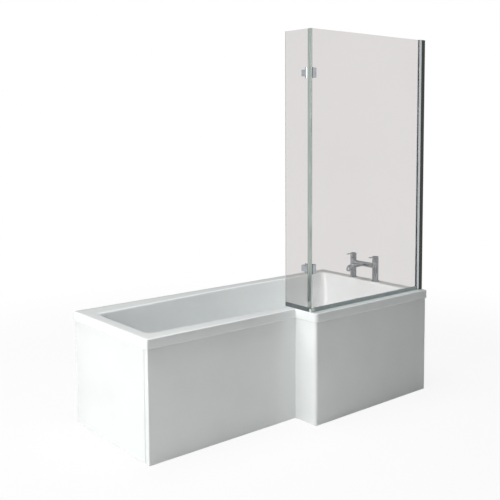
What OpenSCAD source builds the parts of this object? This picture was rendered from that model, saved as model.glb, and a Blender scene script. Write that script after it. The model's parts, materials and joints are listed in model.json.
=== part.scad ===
// L-shaped shower bath with its panels, waste, bath filler and hinged glass screen.
// Millimetres. The origin is on the floor under the middle of the outline: +X runs to the
// tap end, +Y to the long wall behind the bath and +Z up.

/* [Bath] */
// Length along the long wall
bath_l = 1700; // [1600:10:1800]
// Width at the narrow end
narrow_w = 700; // [670:5:730]
// Width at the shower end
shower_w = 850; // [820:5:900]
// Length of the wide shower part
shower_l = 850; // [800:10:900]
// Height of the rim above the floor
rim_h = 565; // [560:5:600]
// Height of the rim's downturned edge
rim_drop = 45; // [38:1:55]
// Thickness of the moulded shell
shell_t = 6; // [5:0.5:7]
// Depth of the basin below the rim
basin_depth = 400; // [380:5:405]
// Plan radius of the rim's corners at the narrow end
rim_corner_r = 10; // [4:1:20]
// Plan radius of the rim's corners at the tap end
wall_corner_r = 10; // [4:1:12]
// Plan radius of the rim's corner at the step
step_corner_r = 24; // [10:1:40]

/* [Basin] */
// Rim width at the narrow end
rim_end = 65; // [55:1:80]
// Rim width under the taps
rim_tap = 70; // [64:1:85]
// Rim width along the back of the shower part
rim_back = 75; // [65:1:90]
// Rim width along the front of the shower part
rim_front = 78; // [70:1:90]
// Rim width along the step
rim_step = 75; // [65:1:90]
// Rim width along the front of the narrow part, beside the step
rim_narrow = 72; // [60:1:85]
// How much wider the back rim grows towards the narrow end
flare_back = 55; // [30:1:65]
// How much wider the front rim grows towards the narrow end
flare_front = 23; // [10:1:35]
// Plan radius of the basin's corners at the rim
basin_corner_r = 40; // [20:1:60]
// Plan radius of the basin's corners low down
basin_low_r = 80; // [70:1:95]
// Radius between the basin's walls and its floor
floor_r = 60; // [40:1:65]
// How far the walls lean in from the rim to the floor radius
wall_draft = 40; // [25:1:50]
// How far the narrow end leans in, as a backrest
end_slope = 150; // [100:5:180]

/* [Panels] */
// Thickness of the panels
panel_t = 5; // [3:0.5:6]
// Clearance between the rim's edge and the panel behind it
panel_gap = 2; // [1.8:0.1:3]
// Clearance between the top of a panel and the rim above it
panel_top_gap = 8; // [5:0.5:12]
// Length of the front panel's return on the narrow end
panel_return = 36; // [20:1:60]
// Gap between the front panel's return and the end panel
panel_joint = 4; // [2:0.5:8]
// Height and thickness of the floor battens behind the panels
plinth_h = 25; // [18:1:35]
// Width of a panel clip
clip_w = 30; // [20:1:40]

/* [Support] */
// Thickness of the board under the basin
board_t = 15; // [12:1:18]
// Thickness of the rim's battens
batten_t = 18; // [12:1:20]
// Height of the rim's battens
batten_h = 34; // [25:1:40]
// Width of a support rail's web
rail_w = 30; // [26:1:34]
// Width of a support rail's lips
rail_lip = 10; // [8:0.5:12]
// Height of a support rail
rail_h = 25; // [22:1:28]
// Thickness of a support rail's steel
rail_t = 2; // [1.5:0.1:2.5]
// Radius of a foot's threaded stud
stud_r = 5; // [4:0.5:6]
// Radius of a foot's pad
pad_r = 24; // [18:1:26]
// Height of a foot's pad
pad_h = 14; // [10:1:18]
// Radius of a rail screw
rail_screw_r = 2; // [1.5:0.1:2.5]
// Radius of the wall screw hole in a rim hanger
hanger_hole_r = 3; // [2:0.1:4]

/* [Waste] */
// Distance from the tap end to the waste's centre
waste_in = 280; // [270:5:320]
// Radius of the waste's chrome flange
waste_flange_r = 35; // [33:0.5:38]
// Radius of the waste's neck through the floor
waste_neck_r = 25; // [24:0.5:26]
// Radius of the waste's bore
waste_bore_r = 20; // [19:0.5:21]
// Radius of the plug's dome
plug_r = 27; // [24:0.5:30]
// Height that the plug lifts
plug_lift = 10; // [6:1:12]
// Radius of the trap's outlet pipe
outlet_r = 21.5; // [20:0.5:23]
// Length of the trap's outlet past its nut
outlet_l = 45; // [30:1:60]
// Depth of the overflow's centre below the rim
overflow_drop = 142; // [130:1:150]
// Radius of the overflow's chrome plate
overflow_r = 33; // [31:0.5:36]
// Radius of the overflow's neck through the wall
overflow_neck_r = 24; // [22:0.5:26]
// Radius of the overflow pipe
pipe_r = 14; // [12:0.5:15]
// Wall thickness of the overflow pipe
pipe_wall = 2; // [1.5:0.1:3]
// Bend radius of the overflow pipe
pipe_bend = 34; // [26:1:40]

/* [Bath filler] */
// Distance from the long wall to the middle of the taps
tap_mid = 395; // [385:5:410]
// Distance between the two taps
tap_pitch = 180; // [170:1:190]
// Radius of a pillar
pillar_r = 18.5; // [17:0.5:20]
// Height of a pillar above the rim, up to the lever's cap
pillar_h = 115; // [110:1:130]
// Height of a lever's cap
cap_h = 33; // [28:1:38]
// Length of a lever's blade from the pillar's axis
lever_l = 54; // [40:1:70]
// Width of a lever's blade
lever_w = 14; // [10:1:20]
// Thickness of a lever's blade
lever_t = 4; // [3:0.5:6]
// Height of the bridge's middle above the rim
bridge_z = 90; // [80:1:92]
// Height of the bridge
bridge_h = 27; // [24:1:32]
// Width of the bridge
bridge_w = 26; // [24:1:30]
// Reach of the spout from the bridge's middle
spout_l = 132; // [115:1:150]
// Width of the spout
spout_w = 28; // [24:1:34]
// Height of the spout
spout_h = 20; // [16:0.5:24]
// Radius of a base flange
base_r = 25; // [23:0.5:27]
// Height of a base flange
base_h = 5; // [3:0.5:8]
// Radius of a threaded tail
tail_r = 13.2; // [13:0.1:13.6]
// Length of a threaded tail below the rim's top
tail_l = 62; // [50:1:75]

/* [Screen] */
// Height of the screen above the rim
screen_h = 1380; // [1300:5:1450]
// Thickness of the glass
glass_t = 6; // [5:0.5:6.5]
// Distance from the rim's front edge to the main panel's outer face
screen_in = 46; // [38:1:54]
// Distance from the rim's step edge to the return panel's outer face
return_in = 10; // [8:1:30]
// Length of the return panel from the main panel's outer face
return_l = 190; // [150:1:240]
// Depth of the wall channel
channel_d = 24; // [20:1:30]
// Width of the wall channel
channel_w = 21; // [19:0.5:24]
// Wall thickness of the wall channel
channel_t = 1.5; // [1.2:0.1:2]
// How far the glazing profile stands out of the wall channel
profile_out = 18; // [12:1:28]
// Depth of the glazing profile's pocket
pocket_d = 17; // [14:1:20]
// Height of the seals along the bottom of the glass
seal_h = 20; // [14:1:26]
// Wall thickness of the seals
seal_t = 1.5; // [1:0.1:1.8]
// Thickness of the corner strip
strip_t = 1.5; // [1.2:0.1:2]
// Length of the corner foot along the main panel from the corner
foot_l = 24; // [18:1:30]
// Distance between neighbouring wall screws of the channel
channel_pitch = 420; // [380:5:430]
// Radius of a wall screw hole in the channel
channel_hole_r = 2.75; // [2:0.05:3.5]

/* [Hinges] */
// Height of a hinge
hinge_h = 48; // [42:1:56]
// Distance from the end of the glass to a hinge's middle
hinge_in = 210; // [150:5:260]
// Height of a hinge's ear
ear_t = 8; // [6:0.5:9]
// Thickness of a hinge plate
plate_t = 5; // [4:0.5:5.5]
// Distance from the main panel's outer face to the hinge pin
pivot_in = 31; // [30:0.5:34]
// Length of the leaf on the return panel from the pin
leaf_l = 33; // [28:1:40]
// Length of the bracket on the main panel from the corner
bracket_l = 30; // [27:1:42]
// Radius of the hinge pin
pin_r = 3; // [2.5:0.1:3.5]
// Radius of a hinge screw
hinge_screw_r = 2.5; // [2:0.1:3]

/* [Hidden] */
$fn = 48;
hull_fn = 32;
// Running clearance of shafts, clearance of moving pieces, and of pieces that are put together
run_gap = 0.05;
move_gap = 0.3;
fit_gap = 0.1;
// Overlap that joins two shapes of one piece
join = 0.5;

// Places of the outline
x_end = -bath_l / 2;
x_tap = bath_l / 2;
y_back = shower_w / 2;
y_front = -shower_w / 2;
y_narrow = y_back - narrow_w;
x_step = x_tap - shower_l;
deck_z = rim_h - shell_t;
drop_z = rim_h - rim_drop;
floor_z = rim_h - basin_depth;
under_z = floor_z - shell_t;

// The two wells of the basin: each corner is its place at the rim, which way the corner's centre
// lies along X and Y, and 1 where the corner leans in with the backrest
well_overlap = 150;
well_x = x_step + rim_step;
well_y_back = y_back - rim_back;
well_y_narrow = y_narrow + rim_narrow;
NARROW_WELL = [
    [x_end + rim_end, well_y_back - flare_back, 1, -1, 1],
    [x_end + rim_end, well_y_narrow + flare_front, 1, 1, 1],
    [well_x + well_overlap, well_y_narrow, -1, 1, 0],
    [well_x + well_overlap, well_y_back, -1, -1, 0],
    [well_x, well_y_back, 0, -1, 0]];
SHOWER_WELL = [
    [well_x, y_front + rim_front, 1, 1, 0],
    [x_tap - rim_tap, y_front + rim_front, -1, 1, 0],
    [x_tap - rim_tap, well_y_back, -1, -1, 0],
    [well_x, well_y_back, 1, -1, 0]];
fillet_steps = 4;
level_h = 0.1;

// Board under the floor, and the rails and feet under it
board_margin = 10;
floor_in = wall_draft + floor_r + board_margin;
board_x_lo = x_end + rim_end + end_slope + floor_r + board_margin;
board_x_hi = x_tap - rim_tap - floor_in;
board_y_lo = well_y_narrow + flare_front + floor_in;
board_y_hi = well_y_back - flare_back - floor_in;
wide_x_lo = well_x + floor_in;
wide_y_lo = y_front + rim_front + floor_in;
wide_y_hi = well_y_back - floor_in;
board_z = under_z - board_t;
rail_z = board_z - rail_h;
rail_half = rail_w / 2 + rail_lip;
rail_in = rail_half + 3;
rail_end = 8;
foot_in = 30;
narrow_rail_mid = (board_x_lo + board_x_hi) / 2;
// Each rail is its Y, its two ends and the places of its feet
RAILS = [
    [board_y_hi - rail_in, board_x_lo + rail_end, board_x_hi - rail_end,
        [board_x_lo + rail_end + foot_in, narrow_rail_mid, board_x_hi - rail_end - foot_in]],
    [board_y_lo + rail_in, board_x_lo + rail_end, board_x_hi - rail_end,
        [board_x_lo + rail_end + foot_in, narrow_rail_mid, board_x_hi - rail_end - foot_in]],
    [wide_y_lo + rail_in, wide_x_lo + rail_end, board_x_hi - rail_end,
        [wide_x_lo + rail_end + foot_in, board_x_hi - rail_end - foot_in]]];
rail_screw_in = 70;
nut_h = 8;
nut_r = stud_r * 1.9;
stud_top = rail_z + rail_t + nut_h + 4;
stud_foot = 6;

// Panels behind the rim's edge, and what holds them
panel_in = shell_t + panel_gap;
panel_back = panel_in + panel_t;
panel_top = deck_z - panel_top_gap;
panel_end_gap = 8;
batten_gap = 3;
batten_in = panel_back + batten_gap;
back_batten_in = 26;
batten_end = 24;
plinth_gap = 0.3;
plinth_in = panel_back + plinth_gap;
clip_t = 1.2;
clip_front = 14;
clip_back = 22;
clip_in_end = 150;
clip_in_step = 120;
clip_in_head = 160;
hanger_t = 3;
hanger_w = 30;
hanger_h = 100;
hanger_lip = 20;
hanger_in = 260;
hanger_hole_in = 30;
HANGER_X = [x_end + hanger_in, 0, x_tap - hanger_in];

// Waste under the floor, on one line with the taps
tap_x = x_tap - rim_tap / 2;
tap_y = y_back - tap_mid;
waste_x = x_tap - waste_in;
recess = 2;
gasket_t = 2;
flange_top = floor_z + 1;
neck_l = 34;
hub_r = 8;
hub_z = flange_top - neck_l + 2;
hub_h = 8;
stem_r = 4;
stem_past = 6;
plug_z = flange_top + move_gap;
stem_l = plug_z - hub_z + plug_lift + stem_past;
plug_h = 6;
plug_neck_r = waste_bore_r - 2;
body_wall = 5;
body_r = waste_neck_r + fit_gap + body_wall;
body_z = under_z - gasket_t - 49;
port_z = board_z - pipe_r - 4;
tail_bore_r = 17;
drain_r = 20;
drain_l = 14;
groove = 2;
groove_depth = 1;
trap_nut_r = 27;
trap_r = 40;
trap_h = 56;
trap_wall = 3;
trap_top = body_z - drain_l;
trap_z = trap_top - trap_h;
outlet_z = trap_z + trap_h - outlet_r - trap_wall;
outlet_nut_y = tap_y + trap_r + 2;
outlet_nut_l = 22;
outlet_y = outlet_nut_y + outlet_nut_l + outlet_l;

// Overflow on the leaning wall at the tap end
wall_lean = atan(wall_draft / (basin_depth - floor_r));
overflow_x = x_tap - rim_tap - overflow_drop * tan(wall_lean);
overflow_z = rim_h - overflow_drop;
overflow_depth = 26;
overflow_body_r = overflow_neck_r + 6;
plate_h = 4;
knob_h = 16;
knob_r = overflow_r - 5;
knob_shaft_r = 5;
pipe_x = overflow_x + shell_t + gasket_t + pipe_r + 1;
spigot_l = 22;
clip_band = 7;
pipe_top = overflow_z - overflow_body_r + 4;

// Bath filler
TAP_Y = [tap_y - tap_pitch / 2, tap_y + tap_pitch / 2];
bore_r = 13;
bore_h = 34;
water_r = 7;
top_z = rim_h + pillar_h;
spindle_r = 4;
headwork_top = 8;
cap_gap = 0.6;
cap_wall = 3;
washer_t = 3;
backnut_h = 8;
groove_z = deck_z - washer_t - backnut_h - 4;
spout_bend = 18;
spout_tip = 4;
aerator_r = 10;
aerator_h = 5;
spindle_z = rim_h + bridge_z + water_r + 3;

// Screen: u runs from the return panel's outer face to the tap end, v from the main panel's
// outer face to the long wall
screen_x = x_step + return_in;
screen_y = y_front + screen_in;
screen_top = rim_h + screen_h;
cap_t = 1;
glass_z = rim_h + 3;
glass_top = screen_top - cap_t;
pad_t = 0.5;
half_w = glass_t / 2 + pad_t + plate_t;
barrel_r = half_w;
pin_u = glass_t / 2;
leaf_h = hinge_h - 2 * ear_t - 2 * move_gap;
notch_h = hinge_h + 4;
HINGE_Z = [glass_z + hinge_in, glass_top - hinge_in];
core_v = pivot_in + barrel_r + 2;
leaf_end = pivot_in + leaf_l;
leaf_notch = core_v + 1;
return_edge = 11;
strip_main = 5;
plate_u = strip_main + 1.5;
core_u = plate_u + 7;
block_u = 11.5;
plate_v = glass_t + pad_t + plate_t;
leaf_screw_v = (leaf_notch + leaf_end) / 2;
bracket_screw_u = (core_u + 1 + bracket_l) / 2;
leaf_screw_dz = 8;
bracket_screw_dz = 13;
head_r = hinge_screw_r + 2;
head_h = 1.8;
glass_hole_r = hinge_screw_r + 1.5;
strip_gap = 1.9;
strip_out = strip_gap + strip_t;
strip_return = pivot_in - 10;
foot_h = 16;
foot_v = glass_t + 2.5;
profile_w = channel_w - 2 * channel_t - 2 * move_gap;
profile_x = x_tap - channel_d - profile_out;
glass_end = profile_x + pocket_d - 3;
pocket_half = glass_t / 2 + 2.1;
channel_mid = screen_y + glass_t / 2;
rubber_half = pocket_half - fit_gap;
CHANNEL_HOLES = [for (k = [-1.5 : 1 : 1.5]) rim_h + screen_h / 2 + k * channel_pitch];
profile_screw_in = 90;
PROFILE_SCREWS = [rim_h + profile_screw_in, rim_h + screen_h / 2, screen_top - profile_screw_in];
profile_screw_x = x_tap - channel_d + 7;
profile_screw_r = 2;

// Rectangle between two corners with round corners
module round_rect(x_lo, y_lo, x_hi, y_hi, r) {
    translate([x_lo + r, y_lo]) square([x_hi - x_lo - 2 * r, y_hi - y_lo]);
    translate([x_lo, y_lo + r]) square([x_hi - x_lo, y_hi - y_lo - 2 * r]);
    for (x = [x_lo + r, x_hi - r], y = [y_lo + r, y_hi - r]) translate([x, y]) circle(r);
}

// Box between two corners
module block(lo, hi) {
    translate(lo) cube([hi[0] - lo[0], hi[1] - lo[1], hi[2] - lo[2]]);
}

// L-shaped outline of the bath, moved in from the open sides, up to the two walls
module l_plan(in, x_hi, y_hi) {
    round_rect(x_end + in, y_narrow + in, x_hi - wall_corner_r, y_hi, max(rim_corner_r - in, 1));
    round_rect(x_step + in, y_front + in, x_hi - wall_corner_r, y_hi, max(step_corner_r - in, 1));
    round_rect(x_step + in + step_corner_r, y_front + in, x_hi, y_hi, max(wall_corner_r - in, 1));
}

// One well of the basin, grown by the shell's thickness for its outside
module well(corners, grow, top) {
    hull() {
        for (c = corners) {
            translate([c[0] + c[2] * basin_corner_r, c[1] + c[3] * basin_corner_r, top])
                cylinder(r = basin_corner_r + grow, h = level_h, $fn = hull_fn);
            for (k = [0 : fillet_steps]) {
                a = 90 * k / fillet_steps;
                in_x = basin_low_r + (c[4] == 1 ? end_slope : wall_draft);
                translate([c[0] + c[2] * in_x, c[1] + c[3] * (basin_low_r + wall_draft),
                        floor_z + floor_r * (1 - sin(a)) - grow * sin(a)])
                    cylinder(r = basin_low_r - floor_r * (1 - cos(a)) + grow * cos(a), h = 0.01,
                        $fn = hull_fn);
            }
        }
    }
}

// The overflow's own frame: local Z points into the basin, local X up the wall
module overflow_frame() {
    translate([overflow_x, tap_y, overflow_z]) rotate([0, wall_lean - 90, 0]) children();
}

module at_waste(z) {
    translate([waste_x, tap_y, z]) children();
}

// Ring along Z
module ring(outer, inner, h) {
    difference() {
        cylinder(r = outer, h = h);
        translate([0, 0, -1]) cylinder(r = inner, h = h + 2);
    }
}

module bath_shell() {
    color("white") difference() {
        union() {
            translate([0, 0, deck_z]) linear_extrude(shell_t) l_plan(0, x_tap, y_back);
            translate([0, 0, drop_z]) linear_extrude(rim_drop) difference() {
                l_plan(0, x_tap, y_back);
                l_plan(shell_t, x_tap - shell_t, y_back - shell_t);
            }
            well(NARROW_WELL, shell_t, rim_h - level_h);
            well(SHOWER_WELL, shell_t, rim_h - level_h);
        }
        well(NARROW_WELL, 0, rim_h);
        well(SHOWER_WELL, 0, rim_h);
        at_waste(floor_z - recess) cylinder(r = waste_flange_r + fit_gap, h = recess + 1);
        at_waste(under_z - 1) cylinder(r = waste_neck_r + 1, h = shell_t + 2);
        overflow_frame() translate([0, 0, -shell_t - 4])
            cylinder(r = overflow_neck_r + 1, h = shell_t + 8);
        for (y = TAP_Y) translate([tap_x, y, deck_z - 1]) cylinder(r = tail_r + 1, h = shell_t + 2);
    }
}

module base_board() {
    color("burlywood") difference() {
        union() {
            block([board_x_lo, board_y_lo, board_z], [board_x_hi, board_y_hi, under_z]);
            block([wide_x_lo, wide_y_lo, board_z], [board_x_hi, wide_y_hi, under_z]);
        }
        at_waste(board_z - 1) cylinder(r = body_r + 12, h = board_t + 2);
        for (r = RAILS, p = rail_screw_places(r[0], r[1], r[2])) translate([p[0], p[1], board_z - 1])
            cylinder(r = rail_screw_r, h = board_t - 1);
    }
}

module rim_battens() {
    z = deck_z - batten_h;
    color("burlywood") {
        block([x_end + batten_in + batten_end, y_back - back_batten_in - batten_t, z],
            [x_tap - rim_tap - batten_end, y_back - back_batten_in, deck_z]);
        block([x_end + batten_in + batten_end, y_narrow + batten_in, z],
            [x_step + batten_in, y_narrow + batten_in + batten_t, deck_z]);
        block([x_end + batten_in, y_narrow + batten_in + batten_end, z],
            [x_end + batten_in + batten_t, y_back - back_batten_in - batten_t - join, deck_z]);
        block([x_step + batten_in, y_front + batten_in + batten_end, z],
            [x_step + batten_in + batten_t, y_narrow + batten_in - join, deck_z]);
        block([x_step + batten_in + batten_end, y_front + batten_in, z],
            [x_tap - batten_end, y_front + batten_in + batten_t, deck_z]);
    }
}

// Hat section with its web below, so that the feet's upper nuts sit inside it
module rail(y, x_lo, x_hi, feet) {
    difference() {
        union() {
            block([x_lo, y - rail_w / 2, rail_z], [x_hi, y + rail_w / 2, rail_z + rail_t]);
            for (s = [-1, 1]) {
                wall_y = y + s * (rail_w / 2 - rail_t / 2);
                block([x_lo, wall_y - rail_t / 2, rail_z], [x_hi, wall_y + rail_t / 2, board_z]);
                lip_y = y + s * (rail_w / 2 + rail_lip / 2 - rail_t / 2);
                block([x_lo, lip_y - rail_lip / 2 - rail_t / 2, board_z - rail_t],
                    [x_hi, lip_y + rail_lip / 2 + rail_t / 2, board_z]);
            }
        }
        for (x = feet) translate([x, y, rail_z - 1]) cylinder(r = stud_r + move_gap, h = rail_t + 2);
        for (p = rail_screw_places(y, x_lo, x_hi))
            translate([p[0], p[1], board_z - rail_t - 1])
                cylinder(r = rail_screw_r + fit_gap, h = rail_t + 2);
    }
}

function rail_screw_places(y, x_lo, x_hi) = [
    for (s = [-1, 1], x = [x_lo + rail_screw_in, (x_lo + x_hi) / 2 + foot_in * 2, x_hi - rail_screw_in])
        [x, y + s * (rail_half - rail_lip / 2)]];

module support_rails() {
    color("silver") for (r = RAILS) rail(r[0], r[1], r[2], r[3]);
}

module rail_screws() {
    color("silver") for (r = RAILS, p = rail_screw_places(r[0], r[1], r[2])) {
        translate([p[0], p[1], board_z - rail_t]) cylinder(r = rail_screw_r, h = board_t - 2);
        translate([p[0], p[1], board_z - rail_t - 2]) cylinder(r = rail_screw_r + 2, h = 2);
    }
}

// Repeats its children at every foot
module at_feet() {
    for (r = RAILS, x = r[3]) translate([x, r[0], 0]) children();
}

module foot_studs() {
    color("silver") at_feet() translate([0, 0, stud_foot]) cylinder(r = stud_r, h = stud_top - stud_foot);
}

module foot_nuts() {
    color("silver") at_feet() for (z = [rail_z - nut_h, rail_z + rail_t])
        translate([0, 0, z]) difference() {
            cylinder(r = nut_r, h = nut_h, $fn = 6);
            translate([0, 0, -1]) cylinder(r = stud_r + fit_gap, h = nut_h + 2);
        }
}

module foot_pads() {
    color("dimgray") at_feet() difference() {
        union() {
            cylinder(r = pad_r, h = pad_h / 2);
            cylinder(r = pad_r * 0.6, h = pad_h);
        }
        translate([0, 0, stud_foot]) cylinder(r = stud_r + fit_gap, h = pad_h);
    }
}

// Strap on the wall whose hook holds the rim's back edge from below
module wall_hangers() {
    shelf_z = drop_z - hanger_t - move_gap;
    color("silver") for (x = HANGER_X) difference() {
        union() {
            block([x - hanger_w / 2, y_back - hanger_t, drop_z - hanger_h],
                [x + hanger_w / 2, y_back, drop_z - move_gap]);
            block([x - hanger_w / 2, y_back - hanger_lip, shelf_z],
                [x + hanger_w / 2, y_back, drop_z - move_gap]);
            block([x - hanger_w / 2, y_back - hanger_lip, shelf_z],
                [x + hanger_w / 2, y_back - hanger_lip + hanger_t, drop_z + hanger_lip]);
        }
        for (dz = [hanger_hole_in, hanger_h - hanger_hole_in])
            translate([x, y_back + 1, drop_z - dz]) rotate([90, 0, 0])
            cylinder(r = hanger_hole_r, h = hanger_t + 2);
    }
}

// Outline of a panel's outer or inner face, which runs on past both walls
module panel_plan(in) {
    l_plan(in, x_tap + 2 * step_corner_r, y_back + 2 * step_corner_r);
}

module panel_wall() {
    linear_extrude(panel_top) difference() {
        panel_plan(panel_in);
        panel_plan(panel_back);
    }
}

// One moulding: the narrow front, the step, the wide front and a short return on the end
module front_panel() {
    color("whitesmoke") intersection() {
        panel_wall();
        block([x_end - 1, y_front - 1, -1],
            [x_tap - panel_end_gap, y_narrow + panel_return, panel_top + 1]);
    }
}

module end_panel() {
    color("white") block([x_end + panel_in, y_narrow + panel_return + panel_joint, 0],
        [x_end + panel_back, y_back - panel_end_gap, panel_top]);
}

// Spring clip over a panel's top edge: local X across the clip, local Y into the bath
module clip() {
    front = panel_in - clip_t - fit_gap;
    back = panel_back + fit_gap;
    top = panel_top + fit_gap;
    block([-clip_w / 2, front, top], [clip_w / 2, back + clip_t, top + clip_t]);
    block([-clip_w / 2, front, top - clip_front], [clip_w / 2, front + clip_t, top + clip_t]);
    block([-clip_w / 2, back, top - clip_back], [clip_w / 2, back + clip_t, top + clip_t]);
    block([-clip_w / 2, back, top - clip_back], [clip_w / 2, batten_in, top - clip_back + clip_t]);
}

module panel_clips() {
    color("silver") {
        for (x = [x_end + clip_in_end, (x_end + x_step) / 2, x_step - clip_in_step])
            translate([x, y_narrow, 0]) clip();
        for (x = [x_step + clip_in_step, (x_step + x_tap) / 2, x_tap - clip_in_step])
            translate([x, y_front, 0]) clip();
        for (y = [y_narrow + clip_in_head, y_back - clip_in_head])
            translate([x_end, y, 0]) rotate([0, 0, -90]) clip();
        translate([x_step, (y_front + y_narrow) / 2, 0]) rotate([0, 0, -90]) clip();
    }
}

module plinth_battens() {
    thick = plinth_in + plinth_h;
    color("burlywood") {
        block([x_end + thick + batten_end, y_narrow + plinth_in, 0], [x_step, y_narrow + thick, plinth_h]);
        block([x_step + thick + batten_end, y_front + plinth_in, 0],
            [x_tap - batten_end, y_front + thick, plinth_h]);
        block([x_step + plinth_in, y_front + thick + join, 0],
            [x_step + thick, y_narrow + plinth_in, plinth_h]);
        block([x_end + plinth_in, y_narrow + panel_return + batten_end, 0],
            [x_end + thick, y_back - batten_end, plinth_h]);
    }
}

module waste_flange() {
    color("silver") at_waste(0) {
        difference() {
            union() {
                translate([0, 0, floor_z - recess])
                    cylinder(r = waste_flange_r, h = flange_top - floor_z + recess);
                translate([0, 0, flange_top - neck_l]) cylinder(r = waste_neck_r, h = neck_l - 1);
            }
            translate([0, 0, flange_top - neck_l - 1]) cylinder(r = waste_bore_r, h = neck_l + 2);
        }
        // Spider that guides the plug's stem
        translate([0, 0, hub_z]) difference() {
            union() {
                cylinder(r = hub_r, h = hub_h);
                for (a = [0, 60, 120]) rotate([0, 0, a])
                    translate([-waste_bore_r - join, -1.5, 0]) cube([2 * (waste_bore_r + join), 3, hub_h]);
            }
            translate([0, 0, -1]) cylinder(r = stem_r + run_gap, h = hub_h + 2);
        }
    }
}

module waste_gasket() {
    color("black") at_waste(under_z - gasket_t) ring(body_r, waste_neck_r + fit_gap, gasket_t);
}

// Cup that the flange screws into, with the overflow's port at its side and the trap's thread below
module waste_body() {
    color("white") at_waste(0) difference() {
        union() {
            translate([0, 0, body_z]) cylinder(r = body_r, h = under_z - gasket_t - body_z);
            translate([0, 0, body_z - drain_l]) cylinder(r = drain_r, h = drain_l + 1);
            translate([0, 0, port_z]) rotate([0, 90, 0]) cylinder(r = pipe_r + 4, h = body_r + 12);
        }
        translate([0, 0, body_z + body_wall]) cylinder(r = waste_neck_r + fit_gap, h = under_z);
        translate([0, 0, body_z - drain_l - 1]) cylinder(r = tail_bore_r, h = drain_l + body_wall + 2);
        translate([0, 0, port_z]) rotate([0, 90, 0]) cylinder(r = pipe_r - pipe_wall, h = body_r + 13);
        translate([body_r, 0, port_z]) rotate([0, 90, 0]) cylinder(r = pipe_r + fit_gap, h = 13);
    }
}

module waste_plug() {
    color("silver") at_waste(plug_z) {
        rotate_extrude() intersection() {
            translate([0, -plug_r * 3 + plug_h]) circle(r = plug_r * 3, $fn = 180);
            square([plug_r, plug_h]);
        }
        difference() {
            translate([0, 0, -10]) cylinder(r = plug_neck_r, h = 10 + join);
            translate([0, 0, -6]) ring(plug_neck_r + 1, plug_neck_r - 2, 3);
        }
        translate([0, 0, -stem_l]) cylinder(r = stem_r, h = stem_l);
    }
}

module plug_seal() {
    color("black") at_waste(plug_z - 6 + fit_gap)
        ring(waste_bore_r - move_gap, plug_neck_r - 2 + fit_gap, 3 - 2 * fit_gap);
}

// The trap's inlet nut under the waste and its outlet nut at the side
module trap_nuts() {
    color("dimgray") {
        at_waste(trap_top + fit_gap) ring(trap_nut_r, drain_r + fit_gap, drain_l - 2 * fit_gap);
        translate([waste_x, outlet_nut_y, outlet_z]) rotate([-90, 0, 0])
            ring(outlet_r + 6, outlet_r + fit_gap, outlet_nut_l);
    }
}

// Shallow bath trap: a bowl with a dip pipe, and an outlet towards the long wall
module bath_trap() {
    color("white") at_waste(0) difference() {
        union() {
            translate([0, 0, trap_z]) cylinder(r = trap_r, h = trap_h);
            translate([0, 0, outlet_z]) rotate([-90, 0, 0]) cylinder(r = outlet_r, h = outlet_y - tap_y);
        }
        difference() {
            translate([0, 0, trap_z + trap_wall])
                cylinder(r = trap_r - trap_wall, h = trap_h - 2 * trap_wall);
            translate([0, 0, trap_z + trap_h / 4]) cylinder(r = tail_bore_r + trap_wall, h = trap_h);
        }
        translate([0, 0, trap_z + trap_h / 4 - 1]) cylinder(r = tail_bore_r, h = trap_h);
        translate([0, trap_r - trap_wall - 2, outlet_z]) rotate([-90, 0, 0])
            cylinder(r = outlet_r - trap_wall, h = outlet_y - tap_y);
        translate([0, outlet_nut_y - tap_y + outlet_nut_l + 1, outlet_z]) rotate([-90, 0, 0])
            ring(outlet_r + 1, outlet_r - groove_depth, groove);
    }
}

// Fixed chrome plate over the overflow's hole, with the slots that the water leaves by
module overflow_plate() {
    color("silver") overflow_frame() difference() {
        union() {
            translate([0, 0, fit_gap]) cylinder(r = overflow_r, h = plate_h);
            translate([0, 0, -shell_t - gasket_t - 6])
                cylinder(r = overflow_neck_r, h = shell_t + gasket_t + 6 + 1);
        }
        for (a = [45 : 90 : 315]) rotate([0, 0, a])
            translate([overflow_neck_r * 0.6, 0, -shell_t - gasket_t - 8]) cylinder(r = 6, h = 40);
        translate([0, 0, -shell_t - gasket_t - 7]) cylinder(r = knob_shaft_r + run_gap, h = 40);
    }
}

// Round knob with a grip across it: turning it lifts the plug
module overflow_knob() {
    base = plate_h + fit_gap + move_gap;
    color("silver") overflow_frame() {
        translate([0, 0, base + 6]) cylinder(r = knob_r, h = knob_h - 10);
        translate([0, 0, base]) cylinder(r = knob_r - 6, h = 7);
        translate([-knob_r * 0.85, -4, base + knob_h - 5]) cube([knob_r * 1.7, 8, 7]);
        translate([0, 0, -shell_t - gasket_t - 12])
            cylinder(r = knob_shaft_r, h = shell_t + gasket_t + 12 + base + 1);
    }
}

module overflow_gasket() {
    color("black") overflow_frame() translate([0, 0, -shell_t - gasket_t])
        ring(overflow_body_r, overflow_neck_r + fit_gap, gasket_t);
}

// Elbow behind the wall: a cup around the neck, and a spigot down for the pipe
module overflow_body() {
    color("white") difference() {
        union() {
            overflow_frame() translate([0, 0, -shell_t - gasket_t - overflow_depth])
                cylinder(r = overflow_body_r, h = overflow_depth);
            translate([pipe_x, tap_y, pipe_top - spigot_l]) cylinder(r = pipe_r + 3, h = spigot_l + 20);
        }
        overflow_frame() translate([0, 0, -shell_t - gasket_t - overflow_depth + 4])
            cylinder(r = overflow_neck_r + fit_gap, h = overflow_depth);
        translate([pipe_x, tap_y, pipe_top - spigot_l - 1])
            cylinder(r = pipe_r - pipe_wall, h = spigot_l + 6);
        translate([pipe_x, tap_y, pipe_top - spigot_l - 1]) cylinder(r = pipe_r + fit_gap, h = spigot_l - 3);
    }
}

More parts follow.
